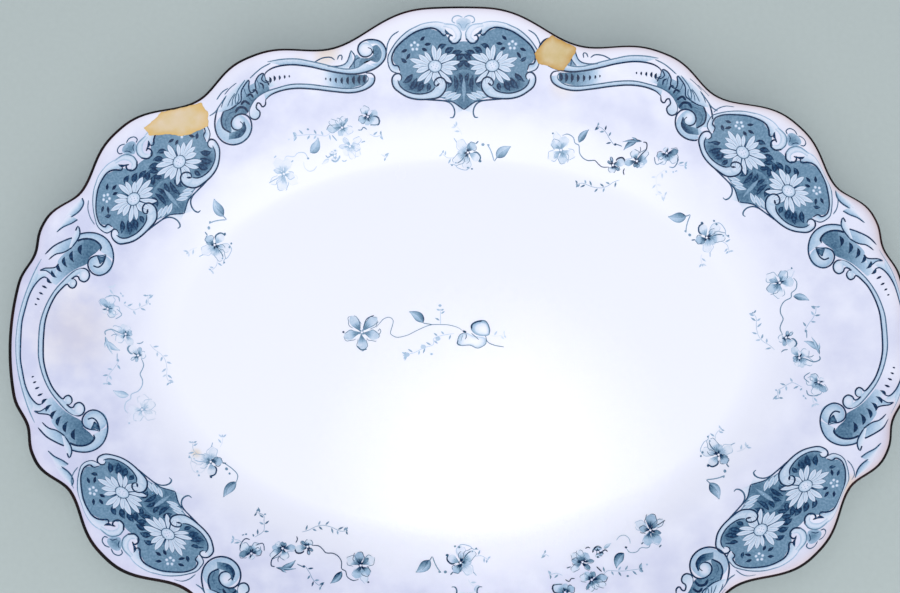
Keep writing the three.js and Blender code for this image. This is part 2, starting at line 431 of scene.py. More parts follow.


# Colour of the glaze: white, plus lavender painted shade by the oval distance times what each side leaves of
# it times the clouds, plus the blush, partly painted shade, by the lip attribute, plus each stain by its
# distance. The print starts from the same colour.
def glazeColour(tree):
    look = glazeLook
    place = addNode(tree, "ShaderNodeTexCoord").outputs["Object"]
    axes = addNode(tree, "ShaderNodeSeparateXYZ", {0: place}).outputs
    lip = addNode(tree, "ShaderNodeAttribute", attribute_name="lip").outputs["Fac"]
    clouds = noise(tree, place, look["clouds"], 3.0)
    footX, footY = ((half - look["border"]) * mm for half in (halfLength, halfWidth))
    flat = vectors(tree, "MULTIPLY", place, (1 / footX, 1 / footY, 0))["Vector"]
    reach = vectors(tree, "LENGTH", flat)["Value"]
    # Painted shade on the border: lavender by the oval distance, darker towards the left, paler on the far
    # rim and off the far lip
    borderShade = mapped(tree, reach, look["shadeRing"], (0.0, look["shadeMost"]), "SMOOTHSTEP")
    sides = (-halfLength * mm, look["rightFrom"] * mm)
    sideShade = mapped(tree, axes["X"], sides, (look["leftShare"], look["rightShare"]))
    farLighter = mapped(tree, axes["Y"], [edge * mm for edge in look["farRim"]], (1.0, look["farShare"]))
    strip = combined(tree, "POWER", lip, look["lipBreadth"])
    farLipLighter = mapped(tree, axes["Y"], [edge * mm for edge in look["farLip"]], (0.0, -1.0))
    lipShadeKept = combined(tree, "MULTIPLY_ADD", strip, farLipLighter, 1.0)
    for share in (sideShade, farLighter, lipShadeKept):
        borderShade = combined(tree, "MULTIPLY", borderShade, share)
    borderShade = combined(tree, "MULTIPLY_ADD", borderShade, clouds, look["shadeLeast"])
    colour = mixed(tree, borderShade, linearColour(look["white"]), linearColour(look["borderShade"]))
    # Blush on the lip, partly a pink tint and partly painted shade, stronger and browner towards the right
    towardsRoseShade = mapped(tree, axes["X"], (look["roseFrom"] * mm, halfLength * mm))
    blushAndShade = mixed(tree, towardsRoseShade, linearColour(look["blushAndShade"]), linearColour(look["roseShade"]))
    blushShadeStrength = mapped(tree, towardsRoseShade, (0.0, 1.0), (look["leftBlushShade"], 1.0))
    colour = mixed(tree, combined(tree, "MULTIPLY", lip, blushShadeStrength), colour, blushAndShade)
    for pixel, radius, strength in stains:
        middle = tuple(onFace(underPixels([pixel]), np.zeros(1))[0][0] * mm)
        away = vectors(tree, "DISTANCE", place, middle)["Value"]
        ragged = combined(tree, "MULTIPLY_ADD", clouds, radius * mm, away)
        edge = [radius * mm * share for share in look["stainEdge"]]
        amount = mapped(tree, ragged, edge, (strength, 0.0), "SMOOTHSTEP")
        colour = mixed(tree, amount, colour, linearColour(look["stain"]))
    return place, colour


# A new node material with its shader
def newMaterial(name):
    material = bpy.data.materials.new(name)
    material.use_nodes = True
    return material, material.node_tree, material.node_tree.nodes["Principled BSDF"]


# Gloss wherever glaze lies: a faint orange peel, and a roughness that wear varies between two shares
def glossyFinish(tree, shader, place):
    look = glazeLook
    peel = noise(tree, place, look["peel"], 1.0)
    wear = noise(tree, place, look["wear"], 4.0)
    gloss = mapped(tree, wear, (0.0, 1.0), [look["roughness"] * share for share in look["wornShares"]])
    tree.links.new(gloss, shader.inputs["Roughness"])
    tree.links.new(bumped(tree, peel, look["peelStrength"], look["peelDepth"]), shader.inputs["Normal"])
    shader.inputs["IOR"].default_value = look["ior"]


# Clear glaze fired over the white body: the glaze's colour with its gloss
def clearGlaze():
    material, tree, shader = newMaterial("glazed_white_earthenware")
    place, colour = glazeColour(tree)
    tree.links.new(colour, shader.inputs["Base Color"])
    glossyFinish(tree, shader, place)
    return material


# Cobalt underglaze print: the tone of each mark runs from bare glaze through slate to navy, slightly mottled
inkLook = {
    "stops": [(0.0, "#eef2fb"), (0.14, "#cddcec"), (0.3, "#a3bfd8"), (0.55, "#698ca6"), (0.72, "#466b87"),
              (0.87, "#0a3a60"), (1.0, "#001e42")],
    "mottle": 0.9,              # millimetres between the clouds of the transfer
    "mottleRange": (0.3, 0.7),
    "mottleShares": (0.86, 1.12),
    "covers": 0.2,              # tone from which the glaze's own colour no longer shows
    "ior": 1.34,                # the colour dulls the glaze over it a little
}


# Colour of the print: the tone times the mottle, through the ramp, over the glaze's colour at the pale end
def cobaltPrint():
    material, tree, shader = newMaterial("cobalt_underglaze_print")
    place, white = glazeColour(tree)
    tone = addNode(tree, "ShaderNodeAttribute", attribute_name="tone").outputs["Fac"]
    clouds = noise(tree, place, inkLook["mottle"], 3.0)
    patchy = mapped(tree, clouds, inkLook["mottleRange"], inkLook["mottleShares"])
    mottled = addNode(tree, "ShaderNodeMath", {0: tone, 1: patchy}, operation="MULTIPLY", use_clamp=True)
    tone = mottled.outputs[0]
    ramp = addNode(tree, "ShaderNodeValToRGB", {"Fac": tone})
    stops = ramp.color_ramp.elements
    for index, (position, hexCode) in enumerate(inkLook["stops"]):
        stop = stops[index] if index < 2 else stops.new(position)
        stop.position, stop.color = position, linearColour(hexCode)
    covered = mapped(tree, tone, (0.0, inkLook["covers"]))
    tree.links.new(mixed(tree, covered, white, ramp.outputs["Color"]), shader.inputs["Base Color"])
    glossyFinish(tree, shader, place)
    shader.inputs["IOR"].default_value = inkLook["ior"]
    return material


# Fired biscuit: porous buff clay, matte and gritty, darker where old grease has soaked in
clayLook = {
    "soaked": 7.0,
    "soakRange": (0.35, 0.7),
    "edgePatches": 1.1,         # dirt has soaked in from a broken edge, further in some places than in others
    "edgeRange": (0.72, 1.5),
    "grit": 0.8,
    "gritStrength": 0.5,
    "gritDepth": 0.2,
    "roughness": 0.75,
}


# Colour of the clay: two colours mixed by noise, then the edge's colour by its tone plus the same noise
def bareBiscuit(name, pale, dark, edge=None):
    look = clayLook
    material, tree, shader = newMaterial(name)
    place = addNode(tree, "ShaderNodeTexCoord").outputs["Object"]
    soaked = noise(tree, place, look["soaked"], 5.0)
    colour = mixed(tree, mapped(tree, soaked, look["soakRange"]), linearColour(pale), linearColour(dark))
    if edge:
        tone = addNode(tree, "ShaderNodeAttribute", attribute_name="tone").outputs["Fac"]
        stained = combined(tree, "MULTIPLY_ADD", soaked, look["edgePatches"], tone)
        colour = mixed(tree, mapped(tree, stained, look["edgeRange"]), colour, linearColour(edge))
    grit = noise(tree, place, look["grit"], 4.0)
    tree.links.new(colour, shader.inputs["Base Color"])
    tree.links.new(bumped(tree, grit, look["gritStrength"], look["gritDepth"]), shader.inputs["Normal"])
    shader.inputs["Roughness"].default_value = look["roughness"]
    return material


# Painted edge line: iron-brown enamel brushed along the lip, worn thin in places
enamelLook = {
    "thick": "#0b0509",
    "thin": "#2c0c10",
    "brushed": 18.0,            # millimetres between worn places
    "wornRange": (0.45, 0.75),
    "roughness": 0.5,
    "specular": 0.2,
}


# Colour of the enamel: thick to thin by noise
def edgeEnamel():
    material, tree, shader = newMaterial("brushed_brown_edge_enamel")
    place = addNode(tree, "ShaderNodeTexCoord").outputs["Object"]
    worn = mapped(tree, noise(tree, place, enamelLook["brushed"], 5.0), enamelLook["wornRange"])
    colour = mixed(tree, worn, linearColour(enamelLook["thick"]), linearColour(enamelLook["thin"]))
    tree.links.new(colour, shader.inputs["Base Color"])
    shader.inputs["Roughness"].default_value = enamelLook["roughness"]
    shader.inputs["Specular IOR Level"].default_value = enamelLook["specular"]
    return material


glaze = clearGlaze()
ink = cobaltPrint()
print("materials ready")

# Fineness of the swept surfaces: stations round the rim, and distances in from the edge
fineness = {"round": 480, "border": 1.25, "under": 4.0, "back": 2.5, "innerStart": 8.0}
around = np.linspace(0, 2 * np.pi, fineness["round"], endpoint=False)
lipStations = np.array([0.0, 0.03, 0.1, 0.22, 0.4, 0.65, 1.0, 1.4, 1.9, 2.5, 3.2, 4.0, 5.0, 6.0])
borderStart = lipStations[-1] + fineness["border"]
borderSteps = np.arange(borderStart, wellInset, fineness["border"])
borderStations = np.concatenate([lipStations, borderSteps, [wellInset]])
wellStations = wellInset * (1 + np.array([0.06, 0.14, 0.24, 0.36, 0.5, 0.64, 0.78, 0.9]))
flatFrom = wellInset + 15   # the section's height no longer changes beyond this


# Grid of a surface over the plan: a row for each distance in from the edge, a column for each station
# round. A distance may be one number for its row, or a row of them.
def sweptRows(section, inward, sink=0.0, dished=False):
    distance = np.broadcast_to(np.reshape(inward, (len(inward), -1)), (len(inward), len(around)))
    angle = np.broadcast_to(around, distance.shape)
    plan = planPoint(angle, distance)
    height = surfaceHeight(section, plan, angle, np.minimum(distance, flatFrom)) + sink
    if dished:
        height = height - flakeDish(plan)
    return np.concatenate([plan, height[..., None]], -1)


# Closed body from rows that run outwards on top and back inwards below: the last row joins the first, or
# each end closes on a point of the axis at its mean height
def closedBody(rows, onAxis):
    corners = np.concatenate(rows).reshape(-1, 3)
    count = len(around)
    bands = len(corners) // count
    blocks = [gridQuads(bands, count, wrapRows=not onAxis, wrapColumns=True)]
    if onAxis:
        first, last = corners[:count], corners[-count:]
        poles = np.array([[0, 0, first[:, 2].mean()], [0, 0, last[:, 2].mean()]])
        column, following = np.arange(count), (np.arange(count) + 1) % count
        top, bottom = np.full(count, len(corners)), np.full(count, len(corners) + 1)
        lastRow = (bands - 1) * count
        blocks.append(np.stack([top, column, following], -1))
        blocks.append(np.stack([bottom, lastRow + following, lastRow + column], -1))
        corners = np.vstack([corners, poles])
    return corners, blocks


# Face: glaze over the well, border and lip
faceStations = np.concatenate([borderStations, wellStations])
underSteps = np.arange(fineness["innerStart"], wellInset, fineness["under"])
underStations = np.concatenate([lipStations[::3], underSteps, [wellInset]])
topRows = sweptRows(faceSection, faceStations, dished=True)
underRows = sweptRows(faceSection, underStations, sink=-platter["glaze"])
underRows[0, :, :2] = planPoint(around, np.full(len(around), platter["glaze"]))
underRows[0, :, 2] = topRows[0, :, 2]
faceCorners, faceBlocks = closedBody([topRows[::-1], underRows], True)
faceLip = lipBlushShadeAt(rimCoordinates(faceCorners[:, :2])[1])
addPiece("glazed_face", faceCorners, faceBlocks, glaze, "glaze", ["face_glaze"], lip=faceLip)

# Body: the fired clay between the face and the back
backSteps = np.arange(fineness["innerStart"], wellInset, fineness["back"])
backStations = np.concatenate([lipStations[::2], backSteps, [wellInset]])
backRows = sweptRows(backSection, backStations)
bodyBackRows = sweptRows(backSection, backStations, sink=platter["glaze"])
bodyBackRows[0] = underRows[0]
biscuit = bareBiscuit("stained_biscuit_earthenware", "#e6c99a", "#d9ad68")
bodyShape = closedBody([underRows[::-1], bodyBackRows[1:]], True)
addPiece("fired_body", *bodyShape, biscuit, "biscuit", ["biscuit_body"])

# Back: glaze under the border, ending a little short of the foot
footInset = halfLength - footHigh[0]
wipedMargin = 0.6
endRow = sweptRows(backSection, np.array([footInset - wipedMargin]))
endRow[..., 2] = baseLevel
endAbove = endRow + [0, 0, platter["glaze"]]
backShape = closedBody([endAbove, bodyBackRows[::-1], backRows, endRow], False)
addPiece("glazed_back", *backShape, glaze, "glaze", ["back_glaze"])
print("glazed surfaces swept")


# Rows of a plain oval section: pairs of distance in from the edge and height
def ovalRows(section):
    pairs = np.array(section)
    angle, distance = np.meshgrid(around, pairs[:, 0])
    plan = np.stack([(halfLength - distance) * np.cos(angle), (halfWidth - distance) * np.sin(angle)], -1)
    return np.concatenate([plan, np.broadcast_to(pairs[:, 1:2, None], (*plan.shape[:2], 1))], -1)


# Foot ring: a tapered strip with rounded tread corners, unglazed where it stands, its two sides mirrored
foot = {"rootWidth": 7.5, "treadWidth": 4.0, "taperHeight": 3.6, "rounding": 0.5}
rootHalf, treadHalf, rounding = foot["rootWidth"] / 2, foot["treadWidth"] / 2, foot["rounding"]
footMiddle, rootLevel = footInset + rootHalf, footHigh[2]
footSide = [  # distance out from the middle of the strip, height
    (rootHalf, rootLevel), (rootHalf, foot["taperHeight"] + rounding),
    (rootHalf - 0.3 * rounding, foot["taperHeight"]), (treadHalf + 0.2 * rounding, rounding),
    (treadHalf - 0.24 * rounding, 0.3 * rounding), (treadHalf - rounding, 0.0),
]
footSection = [(footMiddle - away, height) for away, height in footSide]
footSection += [(footMiddle + away, height) for away, height in reversed(footSide)]
footClay = bareBiscuit("wiped_foot_earthenware", "#eadfca", "#d3bd97")
addPiece("foot_strip", *closedBody([ovalRows(footSection)], False), footClay, "foot", ["foot_ring"])

# Base: glaze inside the foot ring, ending a little short of it
baseEdge = footInset + foot["rootWidth"] + wipedMargin
baseShape = closedBody([ovalRows([(baseEdge, rootLevel), (baseEdge, baseLevel)])], True)
addPiece("glazed_base", *baseShape, glaze, "glaze", ["base_glaze"])
print("foot and base made")

# Edge line: a thin painted band that wraps the lip, broader at the left end. Its film stands out from a
# ring inside the lip, which is given by its distance in from the edge and below it.
edgeLine = {"film": 0.05, "width": 1.3, "broader": 0.5, "under": 0.5, "ring": (2.0, 0.2), "rows": 9}
breadth = edgeLine["width"] + edgeLine["broader"] * (0.5 - 0.5 * np.cos(around)) ** 2
shares = np.linspace(0, 1, edgeLine["rows"])[:, None] ** 2
overRows = sweptRows(faceSection, shares * breadth)
underLipRows = sweptRows(backSection, shares[1:5] * edgeLine["under"])
skin = np.concatenate([overRows[::-1], underLipRows])
ringInset, ringDrop = edgeLine["ring"]
ringLevel = np.full((len(around), 1), rimTop - platter["lipDrop"] - ringDrop)
ring = np.concatenate([planPoint(around, np.full(len(around), ringInset)), ringLevel], -1)
outwards = skin - ring
outwards = outwards / np.linalg.norm(outwards, axis=-1, keepdims=True) * edgeLine["film"]
addPiece("edge_line", *closedBody([skin + outwards, (skin - outwards)[::-1]], False), edgeEnamel(), "glaze")
print("edge line painted")

# The print is a list of marks: flat films in plan millimetres with a tone at each point, from bare glaze 0
# to navy 1. Each mark's edges are sunk a little under the glaze so that no rim shows, and each layer lies
# above the last.
inkFilm = {
    "sunk": -0.06,
    "first": 0.03,      # height of the lowest layer, and the step up to each next one
    "step": 0.025,
    "nudge": 0.001,     # step between neighbouring marks, counted round
    "nudges": 20,
    "spacing": 0.7,     # between points along a mark, columns of a fill and rings of a blot
    "columns": 1.2,
    "rings": 1.4,
    "fewest": 6,        # points along a mark or columns of a fill
    "tapering": 6,      # how steeply a stroke thickens from its ends
    "margin": 1.6,      # print nearer the edge than the second distance is squeezed towards the first
    "squeezed": 4.5,
}
cartoucheHalf = 34.0    # half length of a cartouche, and how far it reaches outwards
cartoucheRise = 15.0
ground, shade, band, line, spot = range(5)


# Distance travelled along a path of straight stretches, at each of its points
def travelledAlong(path):
    return np.concatenate([[0], np.cumsum(np.linalg.norm(np.diff(path, axis=0), axis=1))])


# Places on a path at given distances along it
def placesAlong(path, distance):
    travelled = travelledAlong(path)
    return np.stack([np.interp(distance, travelled, column) for column in path.T], -1)


# Even points along a smooth curve through the given ones, about one spacing apart
def evenly(points, closed=False, count=None, spacing=None):
    path = smoothPath(points, 10, closed)
    path = np.vstack([path, path[:1]]) if closed else path
    length = travelledAlong(path)[-1]
    count = count or max(inkFilm["fewest"], int(length / (spacing or inkFilm["spacing"])) + 1)
    return placesAlong(path, np.linspace(0, length, count, endpoint=not closed))


# A mark from a grid of plan points: rows along it, columns across it, closed at both ends and by an
# underside that follows the glaze. Round marks have their edge in the last row, the others in the first and
# last columns.
def newMark(grid, tone, layer, isRound=False):
    tone = np.broadcast_to(tone, grid.shape[:2])
    lift = np.full(grid.shape[:2], inkFilm["first"] + inkFilm["step"] * layer)
    sunk = np.full(grid.shape[:2], inkFilm["sunk"])
    sides = ((grid, grid), (tone, tone), (lift, sunk))
    if isRound:
        lift[-1] = inkFilm["sunk"]
        grid, tone, lift = (np.concatenate([over, under[-2::-1]]) for over, under in sides)
    else:
        lift[:, [0, -1]] = inkFilm["sunk"]
        grid, tone, lift = (np.concatenate([over, under[:, -2:0:-1]], axis=1) for over, under in sides)
    rows, columns = grid.shape[:2]
    ends = [np.arange(columns)[None], (rows * columns - 1 - np.arange(columns))[None]]
    quads = gridQuads(rows, columns, wrapColumns=True)
    return grid.reshape(-1, 2), lift.ravel(), tone.ravel(), [quads, *ends]


# Ribbon: a path with a half width at each point, tones given at shares of the half width from -1 to 1
def ribbon(path, halfWidth, across, layer, alongTone=1.0):
    along = np.gradient(path, axis=0)
    along = along / np.maximum(np.linalg.norm(along, axis=1, keepdims=True), 1e-9)
    side = np.stack([-along[:, 1], along[:, 0]], -1)
    shares, tones = np.array(across, float).T
    reach = np.broadcast_to(halfWidth, len(path))[:, None] * shares[None]
    tone = np.broadcast_to(alongTone, len(path))[:, None] * tones[None]
    return newMark(path[:, None] + side[:, None] * reach[..., None], tone, layer)


# Drawn line: a ribbon that thins to a share of its width at each end; the tone may run between two values
def stroke(points, width, tone, layer=line, thins=(0.5, 0.5)):
    path = evenly(points)
    share = np.linspace(0, 1, len(path))
    rise = inkFilm["tapering"]
    taper = np.minimum(1, np.minimum(thins[0] + rise * share, thins[1] + rise * (1 - share)))
    along = np.interp(share, [0, 1], np.broadcast_to(tone, 2))
    return ribbon(path, width / 2 * taper, [(-1, 1), (-0.85, 1), (0.85, 1), (1, 1)], layer, along)


# Middle line of a leaf and the shares along it: straight from base to tip, bowed aside by a parabola
def bowedLine(base, tip, bow, count):
    base, tip = np.array(base, float), np.array(tip, float)
    share = np.linspace(0, 1, count)
    side = np.array([-(tip - base)[1], (tip - base)[0]])
    return share, base + (tip - base) * share[:, None] + side * (bow * 4 * share * (1 - share))[:, None]


# Leaf or petal: a ribbon from base to tip, widest part of the way along, bowed to one side, with a thin
# edge line. A blunt value under 1 fills the ends out.
def leaf(base, tip, width, tones, layer=shade, bow=0.0, widest=0.45, baseTone=1.0, tipTone=1.0, blunt=1.0):
    share, path = bowedLine(base, tip, bow, 11)
    swell = np.sin(np.pi * share ** (np.log(0.5) / np.log(widest))) ** blunt
    edge, body, vein = tones
    across = [(-1, edge), (-0.84, edge), (-0.68, body), (0, vein), (0.68, body), (0.84, edge), (1, edge)]
    along = np.interp(share, [0, 0.5, 1], [baseTone, 1, tipTone])
    return ribbon(path, width / 2 * np.maximum(swell, 0.06), across, layer, along)


# Fill between two lines: rows along them, tones from one to the other, and a tone along the rows
def between(one, other, tones, layer, alongTone=1.0):
    stretches = (np.diff(np.array(side, float), axis=0) for side in (one, other))
    length = max(np.linalg.norm(stretch, axis=1).sum() for stretch in stretches)
    count = max(inkFilm["fewest"], int(length / inkFilm["spacing"]))
    a, b = evenly(one, count=count), evenly(other, count=count)
    step, across = np.diff(a, axis=0), (b - a)[:-1]
    tones = np.array(tones, float)
    if (step[:, 0] * across[:, 1] - step[:, 1] * across[:, 0]).sum() < 0:
        a, b, tones = b, a, tones[::-1]
    columns = max(inkFilm["fewest"], int(np.linalg.norm(b - a, axis=1).max() / inkFilm["columns"]) + 3)
    share = np.concatenate([[0, 0.03], np.linspace(0, 1, columns)[1:-1], [0.97, 1]])
    tone = np.interp(share, np.linspace(0, 1, len(tones)), tones)
    along = np.atleast_1d(alongTone)
    along = np.interp(np.linspace(0, 1, count), np.linspace(0, 1, len(along)), along)
    return newMark(a[:, None] + (b - a)[:, None] * share[None, :, None], along[:, None] * tone[None], layer)


# Filled shape: rings from a middle point to an outline, tones from the middle outwards
def blot(outline, tones, layer=ground, middle=None):
    ring = evenly(outline, closed=True)
    following = np.roll(ring, -1, axis=0)
    if (ring[:, 0] * following[:, 1] - ring[:, 1] * following[:, 0]).sum() < 0:
        ring = ring[::-1]
    middle = ring.mean(axis=0) if middle is None else np.array(middle, float)
    rings = max(4, int(np.linalg.norm(ring - middle, axis=1).max() / inkFilm["rings"]))
    share = np.append(np.linspace(0.02, 0.985, rings), 1.0)
    tone = np.interp(share, np.linspace(0, 1, len(tones)), tones)
    return newMark(middle + (ring - middle)[None] * share[:, None, None], tone[:, None], layer, isRound=True)


# Outline of a disc or oval
def oval(middle, across, down):
    turn = np.linspace(0, 2 * np.pi, 14, endpoint=False)
    return np.array(middle, float) + np.stack([across * np.cos(turn), down * np.sin(turn)], -1)


# Print eased to its place on the curved border: stretched along by one share at its middle and another at
# its ends, drawn in outwards and inwards, skewed below its middle, its outer corners drawn in and its ends
# leaned by millimetres
def eased(marks, along, ends, outwards, inwards, skew, drawnIn, lean):
    moved = []
    for plan, lift, tone, blocks in marks:
        share = plan[:, 0] / cartoucheHalf
        below = np.minimum(plan[:, 1], 0)
        above = plan[:, 1] * (outwards - drawnIn / cartoucheRise * share ** 2)
        high = np.where(plan[:, 1] > 0, above, below * inwards)
        wide = plan[:, 0] * (along + (ends - along) * share ** 2) + below * skew
        moved.append((np.stack([wide, high + lean * share ** 3], -1), lift, tone, blocks))
    return moved


# Plan points turned about the middle, in degrees
def turned(plan, degrees):
    c, s = math.cos(math.radians(degrees)), math.sin(math.radians(degrees))
    return plan @ np.array([[c, s], [-s, c]])


# Marks moved as a printed sheet is laid: mirrored, turned, then shifted
def stamped(marks, shift=(0, 0), turn=0.0, mirrorX=False, mirrorY=False):
    flip = np.array([-1 if mirrorX else 1, -1 if mirrorY else 1])
    moved = []
    for plan, lift, tone, blocks in marks:
        facing = [block[:, ::-1] for block in blocks] if mirrorX != mirrorY else blocks
        moved.append((turned(plan * flip, turn) + shift, lift, tone, facing))
    return moved


# Marks under a cartouche that was laid over them: inside its blunt oval they are sunk below the glaze
def tucked(marks, middle, turn):
    moved = []
    for plan, lift, tone, blocks in marks:
        along, outwards = turned(plan - middle, -turn).T
        covered = (along / cartoucheHalf) ** 4 + (outwards / cartoucheHalf * 2) ** 4 < 1
        moved.append((plan, np.where(covered, 3 * inkFilm["sunk"], lift), tone, blocks))
    return moved


# Places where the print is paled: photograph pixel, radius in millimetres, share of the tone lost. The two
# near left ones are wear; those on the far side are a painted highlight, the print paled where glare washes
# it out
wearAndGlarePlaces = [
    ((281, 174), 19.0, 0.6), ((347, 152), 12.0, 0.65), ((560, 152), 13.0, 0.5), ((463, 18), 9.0, 0.55),
    ((141, 412), 13.0, 0.5), ((196, 466), 6.0, 0.65), ((660, 186), 11.0, 0.75),
]


# Share of the tone left at each plan point: each place, of wear and of painted glare alike, takes off its
# share times a bell of the distance
def keptPastWearAndGlare(plan):
    left = np.ones(len(plan))
    for pixel, radius, share in wearAndGlarePlaces:
        away = np.linalg.norm(plan - underPixels([pixel])[0], axis=1)
        left = left * (1 - share * np.exp(-(away / radius) ** 4))
    return left


# Lays a list of marks on the glaze as one piece. Near the edge the distance in from it is squeezed by an
# exponential, so that no print runs over the lip.
def printPiece(name, marks):
    sizes = [len(mark[0]) for mark in marks]
    starts = np.concatenate([[0], np.cumsum(sizes)[:-1]])
    nudge = np.repeat(np.arange(len(marks)) % inkFilm["nudges"] * inkFilm["nudge"], sizes)
    plan, lift, tone = (np.concatenate([mark[part] for mark in marks]) for part in range(3))
    blocks = [block + start for mark, start in zip(marks, starts) for block in mark[3]]
    angle, inward = rimCoordinates(plan)
    room = inkFilm["squeezed"] - inkFilm["margin"]
    near = inward < inkFilm["squeezed"]
    squeezed = inkFilm["margin"] + room * np.exp(np.minimum(inward - inkFilm["squeezed"], 0) / room)
    inward = np.where(near, squeezed, inward)
    plan = np.where(near[:, None], planPoint(angle, inward), plan)
    corners, normals = onFace(plan, lift + nudge * (lift > 0))
    # the print is paled by wear, and on the far side by painted glare
    tone = np.clip(tone, 0, 1) * keptPastWearAndGlare(plan)
    addPiece(name, corners, blocks, ink, "glaze", tone=tone, normals=normals, lip=lipBlushShadeAt(inward))


# Points of a spiral about a middle: over the sweep, in degrees, the radius closes to a share of itself
def spiral(middle, radius, start, sweep, closing, squash):
    share = np.linspace(0, 1, 12)
    bearing = np.radians(start + sweep * share)
    reach = radius * (1 + (closing - 1) * share)
    return np.array(middle, float) + np.stack([reach * np.cos(bearing), squash * reach * np.sin(bearing)], -1)


daisyForm = {
    "petals": 17,
    "reach": (11.6, 8.8),           # half sizes along and across
    "shadow": (0.6, 0.62),          # shares of them
    "shadowTones": [0.94, 0.92, 0.86, 0.66],
    "crowding": 0.1,                # of a petal's turn
    "shares": (0.2, 0.93, 0.14),    # base, tip and the tip's waver
    "width": (2.9, 0.4),            # and its waver
    "bow": 0.05,
    "tones": (0.95, 0.11, 0.22),
    "disc": (3.1, 2.6),
    "discTones": [0.09, 0.12, 0.26],
    "stippling": (2.2, 1.7),
    "stipple": (0.25, 0.22),
}


# Daisy seen a little from the side: white petals with a thin dark edge, their bearing and reach uneven by
# sines, closed up round a pale disc with stippling along a spiral
def daisy(middle, turn):
    form, middle = daisyForm, np.array(middle, float)
    count = np.arange(form["petals"])
    marks = [blot(oval(middle, *np.multiply(form["reach"], form["shadow"])), form["shadowTones"], shade)]
    uneven = count + form["crowding"] * np.sin(2.7 * count)
    bearing = math.radians(turn) + 2 * np.pi * uneven / form["petals"]
    base, tip, waver = form["shares"]
    tips = tip + waver * np.sin(1.9 * count + 0.7)
    aims = np.stack([np.cos(bearing), np.sin(bearing)], -1) * form["reach"]
    for index, aim in enumerate(aims):
        width = form["width"][0] + form["width"][1] * math.sin(index * 2.2)
        bow = form["bow"] * math.sin(index * 1.3)
        marks.append(leaf(middle + base * aim, middle + tips[index] * aim, width, form["tones"], band, bow,
                          widest=0.6, baseTone=1.15, blunt=0.7))
    marks.append(blot(oval(middle, *form["disc"]), form["discTones"], line))
    marks.append(stroke(spiral(middle, 3.15, 120, 345, 1.0, 0.83), 0.45, 0.78, spot))
    turns = np.arange(7) * 2.4
    away = np.sqrt((turns + 1) / 18)
    dots = middle + (away * np.stack([np.cos(turns), np.sin(turns)])).T * form["stippling"]
    return marks + [blot(oval(dot, *form["stipple"]), [0.4, 0.4], spot) for dot in dots]


blossomForm = {
    "dots": 5,
    "circle": 1.6,
    "dot": (1.0, 0.95),
    "dotTones": [0.08, 0.1, 0.3, 0.6],
    "eye": (0.6, 0.55),
    "leafWidth": 1.6,
    "leaves": [(42, 3.6, 6.6), (8, 4.6, 7.8), (-18, 3.4, 6.2), (203, 3.8, 7.0), (236, 3.8, 7.2)],
}


# Small blossom: pale dots on a circle, with dark leaves by bearing, base and tip pointing out round it
def dotBlossom(middle):
    form, middle = blossomForm, np.array(middle, float)
    turn = np.radians(np.arange(form["dots"]) * 360 / form["dots"] + 20)
    dots = middle + form["circle"] * np.stack([np.cos(turn), np.sin(turn)], -1)
    marks = [blot(oval(dot, *form["dot"]), form["dotTones"], band) for dot in dots]
    marks.append(blot(oval(middle, *form["eye"]), [0.5, 0.5], line))
    for bearing, near, far in form["leaves"]:
        aim = np.array([math.cos(math.radians(bearing)), math.sin(math.radians(bearing))])
        marks.append(leaf(middle + near * aim, middle + far * aim, form["leafWidth"], (0.98, 0.98, 0.98)))
    return marks


